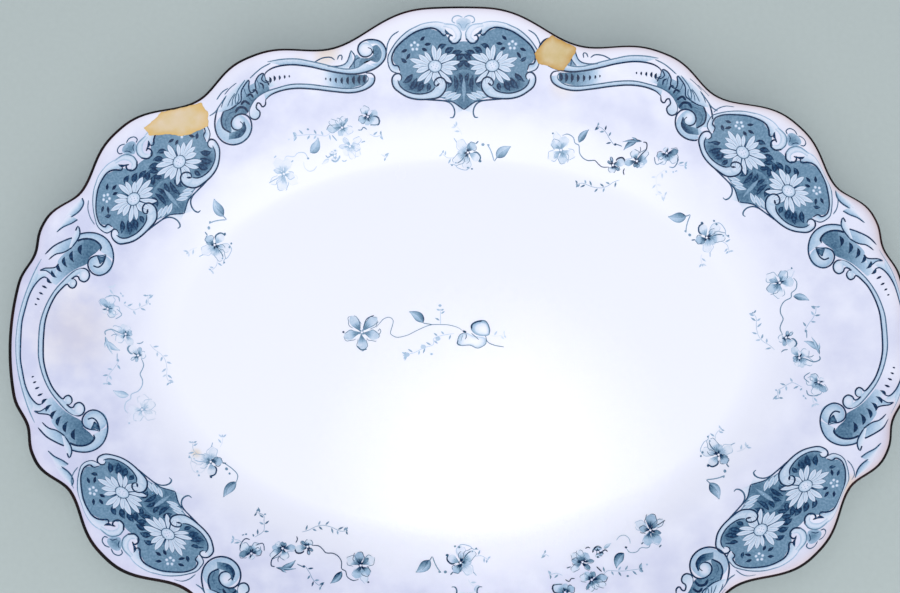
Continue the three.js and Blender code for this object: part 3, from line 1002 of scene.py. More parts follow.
# Lines of the left half of the oval cartouche, in millimetres about its own middle, outwards up
cartoucheLines = {
    "ground": [(0, 9.8), (-2.4, 9.6), (-4, 9.4), (-6.4, 10.6), (-8.4, 12.8), (-11, 14), (-16.6, 15.6),
        (-22.2, 14), (-27.2, 10.8), (-31.4, 7), (-33.2, 3.2), (-33.2, 0.8), (-31, -1.6), (-30, -3.6),
        (-31.4, -5.8), (-31.6, -8.4), (-29.2, -12), (-25.4, -14), (-20, -14.8), (-12, -15.2), (-8.4, -16),
        (-4.4, -17.6), (0, -20)],
    "drop": [(0, -13.4), (-2.4, -15.4), (-4, -17.4), (-2, -19), (0, -20)],
    "crown": [(0, 14.2), (-2.4, 16), (-3.6, 18), (-2.6, 19.6), (0, 20.2)],
    "frameInner": [(-29.8, -3.4), (-30.6, -1.2), (-32.6, -0.8), (-33.4, 0.8), (-33.4, 3.2), (-31.4, 7),
        (-27.2, 10.8), (-22.2, 14), (-16.6, 15.6), (-13.4, 15.4), (-11, 14), (-9.6, 12.4), (-8.4, 12.4),
        (-7.8, 14)],
    "frameOuter": [(-30.4, -4.4), (-33.6, -3.4), (-35, -1.2), (-35.4, 2.2), (-34.2, 5.2), (-30.8, 10),
        (-25.8, 14.4), (-19.6, 17.4)],
    "frameTop": [(-25.8, 14.4), (-19.6, 17.4), (-13, 18.4), (-8, 17.6)],
    "underTop": [(-22.2, 14), (-16.6, 15.6), (-12, 14.8), (-8.6, 12.8)],
    "outerLeaf": [(-36, 4.6), (-35.4, 8.4), (-33.4, 12), (-30.2, 14.2)],
    "curlOuter": [(-9, 17.6), (-3.8, 16.8), (-1.2, 13.8), (-1.3, 10.8), (-3.2, 8.9), (-5.6, 9),
        (-6.9, 10.8), (-6.2, 12.4), (-4.9, 12)],
    "curlInner": [(-9.4, 16.2), (-6.2, 15.4), (-4.2, 13.6), (-3.7, 11.6), (-4.7, 10.6)],
    "scrollOuter": [(-29.4, -7.4), (-29, -5.8), (-30.2, -4.5), (-32.2, -4.8), (-33.6, -7), (-32.8, -10.4),
        (-29.8, -12.9), (-26.2, -14.8), (-22, -15.7), (-17, -15.7), (-12, -14.9), (-9.3, -12.6),
        (-8.2, -9.8), (-8.9, -7.2), (-10.9, -6.1), (-13, -6.9), (-13.9, -8.6), (-13, -10), (-11.7, -9.4)],
    "scrollInner": [(-30.9, -7.2), (-30, -9.6), (-27.8, -11.6), (-24.6, -12.9), (-21.4, -13.4),
        (-18, -13.1), (-15.2, -12.1), (-13.4, -10.4)],
    "tail": [(-19, -15.8), (-12, -16.2), (-8.4, -16.6), (-6, -17.8), (-4.6, -20), (-4.4, -22.2),
        (-5.2, -23.8), (-6.6, -23.8)],
    "tailInner": [(-9.4, -16.2), (-5.8, -16.8), (-3.8, -17.8), (-1.8, -19.2), (0, -20.4)],
}
foliage = [  # base, tip and width of the dark leaves behind the flowers
    ((-24, -4.6), (-28.6, -8.4), 3.0), ((-22, -6.4), (-25.8, -11.6), 3.2),
    ((-19.6, -7.6), (-21.8, -12.4), 3.2), ((-16.4, -8.6), (-17.2, -12.2), 2.6),
    ((-6.4, -5.6), (-7.4, -10.8), 2.6), ((-4.4, -5.2), (-4.2, -13), 2.4), ((-2.2, -4.2), (-1.4, -9.2), 2.2),
    ((-8.6, 4.2), (-4.4, 6.8), 3.0), ((-5.6, 3), (-0.6, 5.2), 3.2), ((-3.2, 1.2), (0.6, 4), 2.8),
    ((-12, 6.2), (-8, 8.2), 2.6), ((-2.6, -2), (0.6, 1.2), 2.8), ((-26.4, 0.6), (-29.2, 2.4), 2.0),
    ((-9.6, -6.4), (-7.6, -9), 2.4),
]
pendant = [  # and of the pale ones hanging under them
    ((-10.6, -14.6), (-5.8, -12.2), 2.6), ((-8.8, -15.4), (-3.4, -12.8), 2.8),
    ((-6, -16), (-1.2, -13.4), 2.6),
]


# Closed outline from its left half: the same points mirrored, back to the start
def bothHalves(half):
    return half + [(-x, y) for x, y in half[-2:0:-1]]


# Cartouche: a dark ground with a drop and a crown on the middle line, then the frame, leaves, flowers,
# scrolls and drawn lines of the left half, and the same mirrored
def cartoucheMarks():
    lines = cartoucheLines
    marks = [
        blot(bothHalves(lines["ground"]), [0.74, 0.68, 0.6, 0.55, 0.55, 0.56], ground, (0, -2)),
        blot(oval((0, -9.4), 7.4, 6.8), [0.8, 0.78, 0.7, 0.56], shade),
        blot(bothHalves(lines["drop"]), [0.7, 0.68, 0.62], shade),
        leaf((0, -6.4), (0, -17.4), 2.2, (0.66, 0.5, 0.46), band),
        blot(bothHalves(lines["crown"]), [0.62, 0.56, 0.44, 0.36], shade, (0, 17)),
    ]
    side = [
        between(lines["frameOuter"], lines["frameInner"][1:9], [0.13, 0.19, 0.36], shade),
        between(lines["frameTop"], lines["underTop"], [0.08, 0.15, 0.3], shade),
        blot(oval((-22, -9.6), 6.6, 3.4), [0.86, 0.8, 0.56], shade),
    ]
    side += [leaf(base, tip, width, (1.0, 0.96, 0.84), bow=0.1, tipTone=0.95) for base, tip, width in foliage]
    side += daisy((-13.4, -1.2), 12)
    side += dotBlossom((-22.8, 7.6))
    side += [leaf(base, tip, width, (0.85, 0.12, 0.3), band, blunt=0.8) for base, tip, width in pendant]
    side += [
        between(lines["tail"][2:6], lines["tailInner"], [0.06, 0.2], shade),
        between(lines["scrollOuter"][4:13], lines["scrollInner"], [0.3, 0.17, 0.24], band),
        blot(oval((-31.2, -6.2), 1.9, 1.7), [0.04, 0.16], band),
        blot(oval((-11, -9), 2.6, 2.8), [0.16, 0.16, 0.26], band),
        between(lines["curlOuter"][:6], lines["curlInner"], [0.28, 0.12, 0.28], band),
        stroke([(-0.4, 20.4), (-2.6, 21.2), (-4.8, 20.4), (-5.2, 18.6), (-3.8, 17.8)], 0.55, 0.8),
        stroke([(-0.6, 15.4), (-1.6, 17.2), (-2.8, 17.8)], 0.5, 0.85),
        leaf((-8.6, 15.2), (-5.6, 12.8), 1.3, (0.95, 0.9, 0.9), line, bow=-0.2),
        leaf((-13, -10), (-11.2, -8.6), 1.1, (0.97, 0.97, 0.97), line),
        stroke(lines["curlOuter"][:4], 0.6, (0.4, 0.75), line, (0.5, 1)),
        stroke(lines["curlOuter"][3:], 0.85, 0.97, line, (1, 0.5)),
    ]
    drawn = [
        ("frameOuter", 0.6, (0.9, 0.55)), ("frameTop", 0.5, (0.5, 0.25)), ("outerLeaf", 0.6, 0.72),
        ("frameInner", 0.85, 0.97), ("scrollInner", 0.7, 0.94), ("scrollOuter", 0.85, 0.97),
        ("tailInner", 0.65, 0.9), ("tail", 0.75, (0.97, 0.72)),
    ]
    side += [stroke(lines[name], width, tone) for name, width, tone in drawn]
    return marks + side + stamped(side, mirrorX=True)


# Lines of the side panel, in millimetres from the middle of the platter, drawn for the far left quarter
sideLines = {
    "upperDark": [(-88.8, 121.8), (-89, 124.2), (-86, 126.6), (-81.2, 128), (-75.4, 128.4), (-68.2, 127.6),
        (-62.4, 126.4), (-55.4, 125.2), (-48.2, 124.8), (-42.4, 125.8), (-37, 128), (-33.4, 131.6),
        (-32.8, 135.6), (-34.8, 138.8), (-38, 140), (-42, 139.8), (-45, 138), (-45.8, 135), (-44.2, 132.6),
        (-41.6, 132.4), (-39.4, 133.8), (-39.6, 135.8), (-41.2, 136.4)],
    "upperOuter": [(-87.8, 129.6), (-81.2, 130.8), (-74.2, 131), (-68.2, 130), (-62.4, 128.8),
        (-56.4, 127.4), (-51.2, 126.8), (-46.4, 127.6), (-42.8, 129.6)],
    "smallGround": [(-41.4, 137.4), (-39.2, 137), (-37, 137.8), (-35, 135.4), (-35, 132.4), (-37, 130),
        (-40.4, 130.8), (-43, 130), (-45.6, 128), (-44.4, 131.4), (-41.4, 131.6), (-38.8, 133.4),
        (-38.8, 136)],
    "lowerOuter": [(-42.4, 125.4), (-39.6, 125.2), (-38.2, 123.4), (-39.4, 120.4), (-43.6, 118),
        (-49.6, 116.8), (-57.4, 117.2), (-66.2, 118), (-74.4, 118.2), (-81, 117.2), (-86.2, 115.2),
        (-89, 112.8)],
    "lowerInner": [(-43, 124.8), (-41.4, 123.6), (-41.8, 121.8), (-45.4, 119.4), (-51.4, 118.6),
        (-60.2, 119.2), (-69, 120), (-76.8, 119.8), (-83.8, 118), (-89.8, 115.8), (-94, 112.6),
        (-96.4, 108.4), (-96.6, 105.6)],
    "hooks": [(-89, 112.8), (-89.2, 110.6), (-90.6, 109.6), (-91.6, 111), (-92.8, 111.2), (-93.4, 109),
        (-91.8, 107.4), (-92.2, 105.2), (-93.8, 104), (-95.8, 104.4), (-96.6, 105.8)],
    "leaf": [(-108, 106.8), (-105, 108), (-102, 110.2), (-100.2, 112), (-100, 116), (-98.4, 119),
        (-96.4, 121.2), (-96.6, 117.8), (-95.6, 115.6), (-93.4, 117.2), (-93.6, 120.2), (-92, 123.2),
        (-89.6, 124.4), (-90.6, 121.8), (-89, 120.4), (-87, 121)],
    "leafNear": [(-105, 101.8), (-103.8, 104.4), (-101, 106), (-98.2, 106), (-96.8, 107.2), (-96.4, 109),
        (-94, 112.6), (-90.4, 115.6), (-87, 117.2)],
    "ribs": [
        [(-103, 106.4), (-101.6, 108.6), (-99, 109), (-97.2, 107)],
        [(-100.4, 110), (-98.6, 111.8), (-96.2, 110.4)], [(-97.8, 113.8), (-95.8, 115), (-94.6, 113.4)],
        [(-95, 116.6), (-93.4, 116.8), (-92.6, 115)], [(-91.8, 120.2), (-90.2, 119.4), (-89.8, 117.4)],
        [(-89.2, 121.6), (-88, 120.8), (-87.2, 119)],
    ],
    "outerLeaf": [(-111.2, 106.1), (-109.2, 109.5), (-107.1, 113.5), (-103.5, 117.2), (-100.6, 119.6),
        (-97.6, 121.6)],
    "hatching": [
        [(-109.2, 108.4), (-108.3, 111), (-106.9, 113.4)], [(-106.4, 109), (-105, 112), (-103, 115)],
        [(-104.4, 109.4), (-103.9, 112.4), (-102.6, 114.8)],
        [(-107.6, 114.3), (-105, 117.4), (-102.2, 119.7)], [(-98.9, 117.6), (-98, 115.2), (-95.4, 112)],
        [(-107, 99.4), (-107.8, 101.8), (-106.6, 104.4)], [(-106, 105.6), (-104.6, 106.6), (-102.6, 107)],
        [(-92.8, 121.4), (-92, 119.6), (-91.6, 117.6)],
    ],
    "feathers": [
        [(-102.6, 109.8), (-102.8, 112.6), (-101.4, 116.6), (-98.2, 121.2)],
        [(-111.2, 111.8), (-108.8, 115.2), (-106, 117.2)],
        [(-114.6, 104.4), (-112, 106.2), (-110.2, 108.8), (-106.8, 113.8)],
        [(-102.6, 109.8), (-101.2, 112.4), (-101.4, 115)],
        [(-96, 122), (-93, 124.8), (-90.2, 127), (-86.4, 129)],
    ],
    "volute": [(-110.4, 108.6), (-111.6, 105.4), (-112.4, 100.8), (-111.6, 96.6), (-109, 93.6),
        (-105, 92.4), (-100.8, 93.4), (-97.4, 96.2), (-95.8, 100), (-96.2, 103.8), (-98.2, 105.8),
        (-101, 106), (-103.8, 104.4), (-105, 101.8), (-104.2, 99.6), (-101.8, 99), (-100, 100.2),
        (-99.8, 101.8), (-101, 102.8)],
    "voluteBand": [(-108.2, 106.8), (-109.4, 103.2), (-108.8, 99.8), (-106.4, 98.2), (-105, 97.6)],
    "voluteGround": [(-108, 106.6), (-105, 108), (-102.4, 109.4), (-100.4, 108), (-101, 106),
        (-103.8, 104.6), (-105.2, 101.8), (-105, 98), (-107, 98.6), (-108.8, 100.4), (-109.2, 103.2)],
    "crescentOuter": [(-99, 103), (-98.2, 99.4), (-101, 95.8), (-106.4, 94.6)],
    "crescentInner": [(-99.6, 102.6), (-100.2, 100.2), (-102.4, 98.8), (-106, 97.6)],
    "crest": [
        [(-60, 127.8), (-54.6, 128), (-51, 129.8), (-49, 135)],
        [(-49, 135), (-47.2, 132.4), (-48, 129.6), (-50, 127.2)],
        [(-55.4, 130.8), (-54.6, 132.6), (-53.2, 132.6), (-53.4, 130.6)],
        [(-47.4, 127.2), (-47.6, 129.4), (-46.6, 131.2), (-45, 131.8)],
        [(-66, 129.6), (-62.4, 131.4), (-58.6, 131.8), (-56.6, 130.6)],
    ],
}
dashRows = [  # bow of the short strokes at each end of the panel, then their places and heights
    (-0.16, [(-42.6, 122.6, 3.8), (-45, 122.4, 3.9), (-47.6, 122.2, 3.8), (-50.4, 122, 3.4),
        (-53.2, 121.9, 2.9), (-56, 122, 2.3), (-58.6, 122.2, 1.7), (-60.8, 122.5, 1.1)]),
    (0.16, [(-87, 121.4, 3.0), (-85, 122.2, 2.6), (-82.6, 122.6, 2.1), (-80.2, 123, 1.6),
        (-78, 123.3, 1.1)]),
]


# Side panel: pale and dark fills between its lines, the leaf's ribs, two rows of dashes, then the lines
def sidePanelMarks():
    lines = sideLines
    curlInside = [(-40.4, 129.4), (-37, 130), (-35, 132.4), (-35.2, 135.6), (-37, 138), (-40, 138)]
    crestGround = [(-50, 127.4), (-48.2, 129.6), (-47.2, 132.4), (-46.2, 133.2), (-44.8, 132), (-41.6, 131.4),
                   (-42.8, 129.8), (-46.4, 127.8)]
    underCrest = [(-58, 127.4), (-54, 127.2), (-50.4, 127.4), (-48, 130)]
    marks = [
        between(lines["upperOuter"], lines["upperDark"][3:11], [0.14, 0.22, 0.38], ground),
        between(lines["upperDark"][10:16], curlInside, [0.38, 0.18], ground),
        blot(lines["smallGround"], [0.7, 0.66, 0.6], shade, (-37.6, 132)),
        blot(oval((-42.2, 135.6), 3.4, 3.2), [0.02, 0.06, 0.26], band),
        between(lines["lowerOuter"][2:], lines["lowerInner"][1:10], [0.38, 0.22, 0.16], shade),
        between(lines["hooks"][6:], lines["lowerInner"][10:], [0.24, 0.08], shade),
        between([(-41.8, 124.8), (-49, 124.6), (-55.4, 125), (-63, 126)],
                [(-42, 120.8), (-49.6, 118.8), (-55, 119), (-63, 119.6)],
                [0.72, 0.7, 0.6], ground, [1.05, 0.9, 0.55, 0.03]),
        between([(-98, 118), (-95, 119.6), (-91, 121.6), (-86, 123.6)],
                [(-96, 110), (-93, 114), (-88, 117.6), (-82, 119.6)],
                [0.4, 0.5, 0.5], ground, [1, 0.9, 0.6, 0.05]),
        between(lines["leaf"][:13], lines["leafNear"], [0.34, 0.52, 0.72], shade, [1.15, 1.05, 1, 0.9]),
        between(lines["outerLeaf"], lines["leaf"][:7], [0.12, 0.2, 0.26, 0.32], ground),
        blot(oval((-104, 99.6), 8.0, 6.8), [0.22, 0.22, 0.3], ground),
        blot(lines["voluteGround"], [0.66, 0.62, 0.6], shade, (-107, 103.4)),
        blot(oval((-101.8, 102.2), 3.2, 3.6), [0.05, 0.14, 0.34], band),
        between(lines["crescentOuter"], lines["crescentInner"], [0.98, 0.9, 0.7], line, [1, 1, 0.9, 0.6]),
        blot(crestGround, [0.5, 0.44], ground),
        between(lines["crest"][0], underCrest, [0.3, 0.16], ground),
    ]
    for index, rib in enumerate(lines["ribs"]):
        marks.append(stroke(rib, 1.3 - 0.1 * index, 0.98, band, (0.3, 0.3)))
    for bow, row in dashRows:
        for x, y, tall in row:
            top, bottom = (x, y + tall / 2), (x, y - tall / 2)
            marks.append(leaf(top, bottom, 0.5 + 0.3 * tall, (1.0, 1.0, 1.0), band, bow))
    drawn = [
        ("upperDark", 0.8, 0.97), ("upperOuter", 0.6, 0.62), ("lowerOuter", 0.8, 0.97),
        ("lowerInner", 0.6, 0.75), ("hooks", 0.75, 0.97), ("leaf", 0.7, 0.95), ("volute", 0.8, 0.97),
        ("voluteBand", 0.85, 0.97),
    ]
    marks += [stroke(lines[name], width, tone) for name, width, tone in drawn]
    for name, width, tone in (("feathers", 0.55, 0.72), ("hatching", 0.42, 0.78), ("crest", 0.6, 0.82)):
        marks += [stroke(curve, width, tone) for curve in lines[name]]
    return marks


# Lines of the far half of the left end panel, in millimetres from the middle of the platter
endLines = {
    "outerDark": [(-197.2, -0.5), (-197, 7.4), (-196, 13), (-194.4, 19.6), (-192.4, 24.2), (-190.2, 27.2),
        (-188.2, 28.6), (-186.6, 28), (-185.4, 26.6)],
    "outerFaint": [(-199.5, -0.5), (-199, 6.4), (-197.8, 13.4), (-195.8, 21), (-193.4, 28), (-191.2, 33.2),
        (-189.4, 36.8)],
    "innerDark": [(-187.6, -0.5), (-187.2, 7.8), (-185.6, 14.4), (-183.2, 20), (-180.6, 23.6),
        (-178.3, 25.8), (-177.2, 24.6), (-175.8, 24.1), (-174.6, 25.2), (-174.3, 26.9), (-175.1, 28.2),
        (-176.3, 28.4)],
    "innerCurl": [(-176.4, 28.2), (-174.9, 29.5), (-173.6, 29.5), (-172.9, 28), (-171.1, 27.2),
        (-169.4, 28.4), (-168.8, 30.5), (-169.4, 32.3), (-170.8, 33.3), (-172.6, 33.3)],
    "innerPale": [(-189.6, -0.5), (-189.4, 5.8), (-188.6, 10.4), (-187, 15.6), (-184.8, 20.4),
        (-182.4, 24.2), (-179.8, 27.3), (-177.2, 30.2), (-174.6, 32.4), (-172.5, 33.3)],
    "groundOuter": [(-170.8, 46.8), (-174, 46), (-176.4, 42.6), (-179.6, 40), (-182.4, 36.2), (-182, 33),
        (-184.6, 29.6), (-186.2, 27)],
    "groundInner": [(-163.8, 43.6), (-165.6, 41), (-168.8, 38.2), (-169.8, 35.4), (-173.4, 33.4),
        (-176.8, 31.2), (-179.8, 28.4), (-182.8, 25)],
    "ribs": [
        ((-172, 44.2), (-172.2, 39.4)), ((-176, 41), (-175.4, 36)), ((-179.4, 38.2), (-178.2, 33.6)),
        ((-182.2, 35), (-180.4, 31.2)), ((-184.8, 31.8), (-182.6, 28.6)), ((-186.6, 28.4), (-184.6, 26)),
    ],
    "leafTip": [(-174.8, 50.4), (-173.8, 52.4), (-173, 50.4), (-173.2, 48), (-174.4, 45.6), (-176.4, 42.6)],
    "lobeUpper": [(-176.4, 47), (-179.2, 45.8), (-184, 43), (-187.8, 39)],
    "lobeLower": [(-176.4, 42.6), (-178.2, 41.2), (-180.4, 40), (-182.8, 39.4), (-184.6, 38.2),
        (-186.2, 36.6)],
    "secondUpper": [(-189.8, 31.6), (-187.8, 32.6), (-185.6, 32.8), (-183.4, 33.2), (-181.8, 34.8)],
    "secondLower": [(-189.8, 31.6), (-187.4, 31.6), (-185.8, 30.6), (-184, 29.2)],
    "volute": [(-173.2, 48.8), (-170.9, 49.5), (-167.8, 49.8), (-164.9, 49.3), (-162.1, 47.8), (-160, 45.3),
        (-158.8, 41.8), (-158.6, 38.1), (-159.5, 34.7), (-161.7, 31.8), (-164.7, 30.5), (-167.3, 31.2),
        (-169, 33.2), (-169.5, 35.8), (-168.5, 38.1), (-166.1, 39.4), (-164.2, 39.4), (-162, 40.2)],
    "voluteInner": [(-174, 45.8), (-171.2, 46.8), (-168, 46.8), (-165.4, 45.6), (-163.9, 43.6),
        (-164.3, 41.8)],
    "eye": [(-167.2, 34.8), (-165.2, 34.2), (-163.4, 35.6), (-162.4, 37.9), (-161.8, 40.2)],
    "eyeShade": [(-165.6, 39.2), (-163.8, 39), (-162.2, 39.6), (-162.8, 37.4), (-164.4, 35.6),
        (-165, 37.2)],
    "rimLeaf": [(-172, 65.2), (-171.2, 63.4), (-171.8, 61.2), (-173.6, 58.8), (-176.8, 56.4)],
    "rimLeafLow": [(-174, 55.4), (-176.6, 53.6), (-180.2, 51.8), (-183, 49.4)],
    "rimLeafBack": [(-172.6, 65), (-176.6, 60.8), (-179.6, 56.4), (-181.2, 52.8), (-183, 49.8)],
    "dashes": [(-187.8, 24.1, 2.3), (-189.2, 21.1, 1.9), (-190.4, 18.5, 1.5), (-191.3, 16, 1.1)],
}


# Half an end panel: pale and dark fills between its lines, the leaf's ribs, dashes, then the lines
def endPanelMarks():
    lines = endLines
    fading = [0.42, 0.26, 0.14, 0.03]
    innerEdge = [*lines["innerDark"][:6], (-174.9, 29.5), (-172, 31.6)]
    voluteFill = [(-171.4, 46.4), (-168, 46.7), (-165.5, 45.5), (-164, 43.5), (-166.4, 41), (-170, 42)]
    tipBack = [(-173.8, 52.2), (-175.4, 49.4), (-176.4, 47), (-177, 44.6), (-177.6, 42.4)]
    rimLeafFoot = [(-177.6, 57.6), (-179.6, 55.8), (-181.2, 52.8), (-183.2, 49.8)]
    marks = [
        between(lines["outerFaint"][:6], lines["outerDark"][:6], [0.12, 0.22, 0.34], ground),
        between(lines["innerPale"], innerEdge, [0.24, 0.2, 0.32], ground),
        blot(oval((-175.8, 26.2), 1.5, 1.9), [0.14, 0.24], ground),
        blot(oval((-171, 30.2), 2.1, 2.8), [0.08, 0.12, 0.24], ground),
        between(lines["groundOuter"], lines["groundInner"], [0.4, 0.58, 0.7, 0.74], ground,
                [1.05, 1, 0.86, 0.6, 0.3]),
        blot(voluteFill, [0.7, 0.66], shade),
        between(lines["lobeUpper"], lines["lobeLower"], [0.22, 0.28, 0.36], shade, [1.3, 1, 0.6, 0.1]),
        between(lines["secondUpper"], lines["secondLower"], [0.2, 0.36], shade),
        between([(-189.8, 31.4), (-187.4, 31.4), (-185.8, 30.4)], lines["outerDark"][4:7],
                [0.12, 0.3], ground),
        between(lines["leafTip"][1:], tipBack, [0.3, 0.08], shade),
        blot(oval((-164, 35.4), 5.0, 4.7), [0.16, 0.2, 0.36], shade),
        between(lines["volute"][:8], [*lines["voluteInner"], (-161.6, 40)], [0.36, 0.24, 0.22], shade),
        blot(lines["eyeShade"], [0.6, 0.95], band, (-163.8, 38)),
        between(lines["rimLeaf"], lines["rimLeafBack"][:3], fading, ground),
        between(lines["rimLeafLow"], rimLeafFoot, fading, ground),
    ]
    for index, (base, tip) in enumerate(lines["ribs"]):
        marks.append(leaf(base, tip, 2.0 - 0.1 * index, (0.85, 0.98, 0.96), band, bow=-0.2))
    for x, y, size in lines["dashes"]:
        base, tip = (x - size / 2, y + size / 4), (x + size / 2, y - size / 4)
        marks.append(leaf(base, tip, 0.5 + 0.25 * size, (1.0, 1.0, 1.0), band))
    drawn = [
        ("outerFaint", 0.55, 0.5), ("outerDark", 0.7, 0.9), ("innerPale", 0.55, 0.75),
        ("innerDark", 0.75, 0.97), ("innerCurl", 0.75, 0.95), ("volute", 0.75, 0.93),
        ("voluteInner", 1.0, 0.97), ("eye", 0.75, 0.95), ("rimLeaf", 0.7, 0.85), ("rimLeafLow", 0.65, 0.85),
        ("leafTip", 0.7, 0.92), ("lobeUpper", 0.75, 0.95), ("lobeLower", 0.65, 0.95),
        ("secondUpper", 0.65, 0.95), ("secondLower", 0.55, 0.9),
    ]
    return marks + [stroke(lines[name], width, tone, thins=(1.0, 0.4)) for name, width, tone in drawn]


# Border: six cartouches, four side panels and two end panels, each a little off true as transfers are laid
# by hand. A cartouche has its place, its turn in degrees and the values that ease it to the border, in the
# order of eased.
cartouches = {
    "far": ((3.4, 129.8), 0, (1.0, 1.0, 1.0, 1.0, 0.0, 0.0, 0.0)),
    "near": ((3.4, -130.5), 180, (1.03, 1.03, 0.97, 0.82, 0.0, 0.0, 0.0)),
    "far_right": ((142.8, 77.3), -42.6, (1.03, 1.0, 0.98, 0.9, 0.0, 3.6, 0.0)),
    "far_left": ((-140, 75.8), 40, (1.025, 0.97, 0.97, 0.97, 0.0, 2.4, 3.0)),
    "near_left": ((-140.6, -78.6), 138.6, (1.05, 1.0, 0.96, 0.8, 0.135, 2.4, 0.0)),
    "near_right": ((144.5, -77.7), 223.1, (1.06, 0.98, 0.93, 0.86, -0.115, 2.4, 0.0)),
}
sidePanels = {  # mirrored along, mirrored across, shift, and the cartouche that lies over it, if any
    "far_left": (False, False, (0, 0), None),
    "far_right": (True, False, (5.8, 0), "far_right"),
    "near_left": (False, True, (-1, -4.8), None),
    "near_right": (True, True, (6.2, -1.6), None),
}
endPanels = {"farToNear": (0, -1), "right": (3, -2.7), "rightTurn": 1.3}
cartouche = cartoucheMarks()
for name, (place, turn, fit) in cartouches.items():
    printPiece("cartouche_" + name, stamped(eased(cartouche, *fit), place, turn))
sidePanel = sidePanelMarks()
for name, (mirrorX, mirrorY, shift, cover) in sidePanels.items():
    panel = stamped(sidePanel, shift, 0, mirrorX, mirrorY)
    printPiece("side_panel_" + name, tucked(panel, *cartouches[cover][:2]) if cover else panel)
endPanel = endPanelMarks()
endPanel = endPanel + stamped(endPanel, endPanels["farToNear"], 0, mirrorY=True)
printPiece("end_panel_left", endPanel)
printPiece("end_panel_right", stamped(endPanel, endPanels["right"], endPanels["rightTurn"], mirrorX=True))
print("border printed")


# Kinds of petal in the sprays: tones of the body, base, veins and edge line, and the edge line's width
petalKinds = {
    "white": {"body": 0.12, "base": 0.72, "vein": 0.62, "edge": 0.6, "width": 0.28},
    "dark": {"body": 0.5, "base": 1.0, "vein": 1.0, "edge": 0.7, "width": 0.24},
    "shaded": {"body": 0.3, "base": 1.0, "vein": 0.95, "edge": 0.82, "width": 0.32},
    "soft": {"body": 0.25, "base": 0.85, "vein": 0.78, "edge": 0.3, "width": 0.24},
    "arched": {"body": 0.16, "base": 0.6, "vein": 0.5, "edge": 0.97, "width": 0.75},
    "shadow": {"body": 0.18, "base": 0.66, "vein": 0.55, "edge": 0.6, "width": 0.3},
    "faint": {"body": 0.13, "base": 0.4, "vein": 0.4, "edge": 0.3, "width": 0.26},
}


# Petal: a blunt ribbon running from its base tone to its body tone, three veins fanning out over half its
# length, and a broken edge line whose distance from the petal's middle waves by a tenth; an arched petal
# has one line on one side
def petal(middle, bearing, length, width, kind, strength):
    style = petalKinds[kind]
    turn = math.radians(bearing)
    ahead = np.array([math.cos(turn), math.sin(turn)])
    side = np.array([-ahead[1], ahead[0]])
    share = np.linspace(0.08, 1, 12)
    waver = 0.05 * length * np.sin(3 * share + turn)
    path = middle + ahead * (length * share)[:, None] + side * waver[:, None]
    swell = np.sin(np.pi * np.linspace(0, 1, 12) ** 1.5) ** 0.75
    along = [style["base"], 0.75 * style["base"], style["body"], 1.1 * style["body"]]
    tone = strength * np.interp(share, [0, 0.3, 0.62, 1], along)
    across = [(-1, 0.8), (-0.8, 0.9), (0, 1), (0.8, 1.1), (1, 1)]
    marks = [ribbon(path, width / 2 * np.maximum(swell, 0.06), across, band, tone)]
    skip = 0.16 * math.sin(5 * turn)
    for start, end in ((-0.12, 0.8),) if kind == "arched" else ((-0.75, skip - 0.06), (skip + 0.1, 0.7)):
        bends = np.pi * np.linspace(start, end, 8)
        wave = 1 + (0.03 if kind == "arched" else 0.1) * np.sin(5 * bends + 3 * turn)
        edge = middle + ahead * (length * (0.62 + 0.38 * wave * np.cos(bends)))[:, None]
        edge = edge + side * (width / 2 * wave * np.sin(bends))[:, None]
        marks.append(stroke(edge, style["width"], strength * style["edge"], line, (0.2, 0.2)))
    for fan in (-1, 0, 1):
        end = middle + ahead * length * (0.56 - 0.1 * abs(fan)) + side * fan * 0.2 * width
        marks.append(leaf(middle + 0.14 * length * ahead, end, 0.42, (strength * style["vein"],) * 3, line))
    return marks


# Field flower: petals by bearing, length, width and kind, round a white eye in a ring of dark wedges
def fieldFlower(middle, petals, strength, ring, eye=0.55):
    middle = np.array(middle, float)
    marks = [mark for settings in petals for mark in petal(middle, *settings, strength)]
    deep = ring * min(1.0, strength + 0.25)
    for index, settings in enumerate(petals):
        turn = math.radians(settings[0] + 24 * math.sin(2.3 * index))
        aim = np.array([math.cos(turn), math.sin(turn)])
        reach = eye * (3.2 + 1.2 * math.sin(1.7 * index))
        tones = (0.98 * deep,) * 3
        marks.append(leaf(middle + eye * aim, middle + reach * aim, 1.5 * eye, tones, line, widest=0.35))
    marks.append(blot(oval(middle, 1.5 * eye, 1.4 * eye), [0.9 * deep, 0.85 * deep], line))
    marks.append(blot(oval(middle, eye, 0.95 * eye), [0.0, 0.0, 0.04], spot))
    return marks


# Leaf blade: a bowed ribbon, dark along one side and round the base, paling to the tip, with a dark point
def blade(base, tip, width, strength, bow):
    share, path = bowedLine(base, tip, bow, 12)
    swell = np.maximum(np.sin(np.pi * share ** 0.75), 0.07)
    across = [(-1, 1.0), (-0.85, 1.0), (-0.55, 0.74), (0, 0.58), (0.06, 0.4), (0.6, 0.46), (0.85, 0.72),
              (1, 0.72)]
    along = np.interp(share, [0, 0.3, 0.7, 0.94, 1], [1.5, 1.1, 0.75, 0.8, 1.3])
    return ribbon(path, width / 2 * swell, [(at, tone * strength) for at, tone in across], band, along)


twigForm = {
    "hair": (0.24, 0.75),           # width and share of the tone
    "spacing": 0.5,
    "every": 3.0,
    "leaf": 2.4,
    "leafShares": (0.75, 0.36),     # length and width
    "lean": (0.5, 0.3),             # and its waver, as the two below
    "length": (1, 0.45),
    "tone": (1.15, 0.35),
    "missing": -0.6,
    "tip": [(-0.8, 1.15), (0.1, 1.15), (0.9, 1.15)],
}


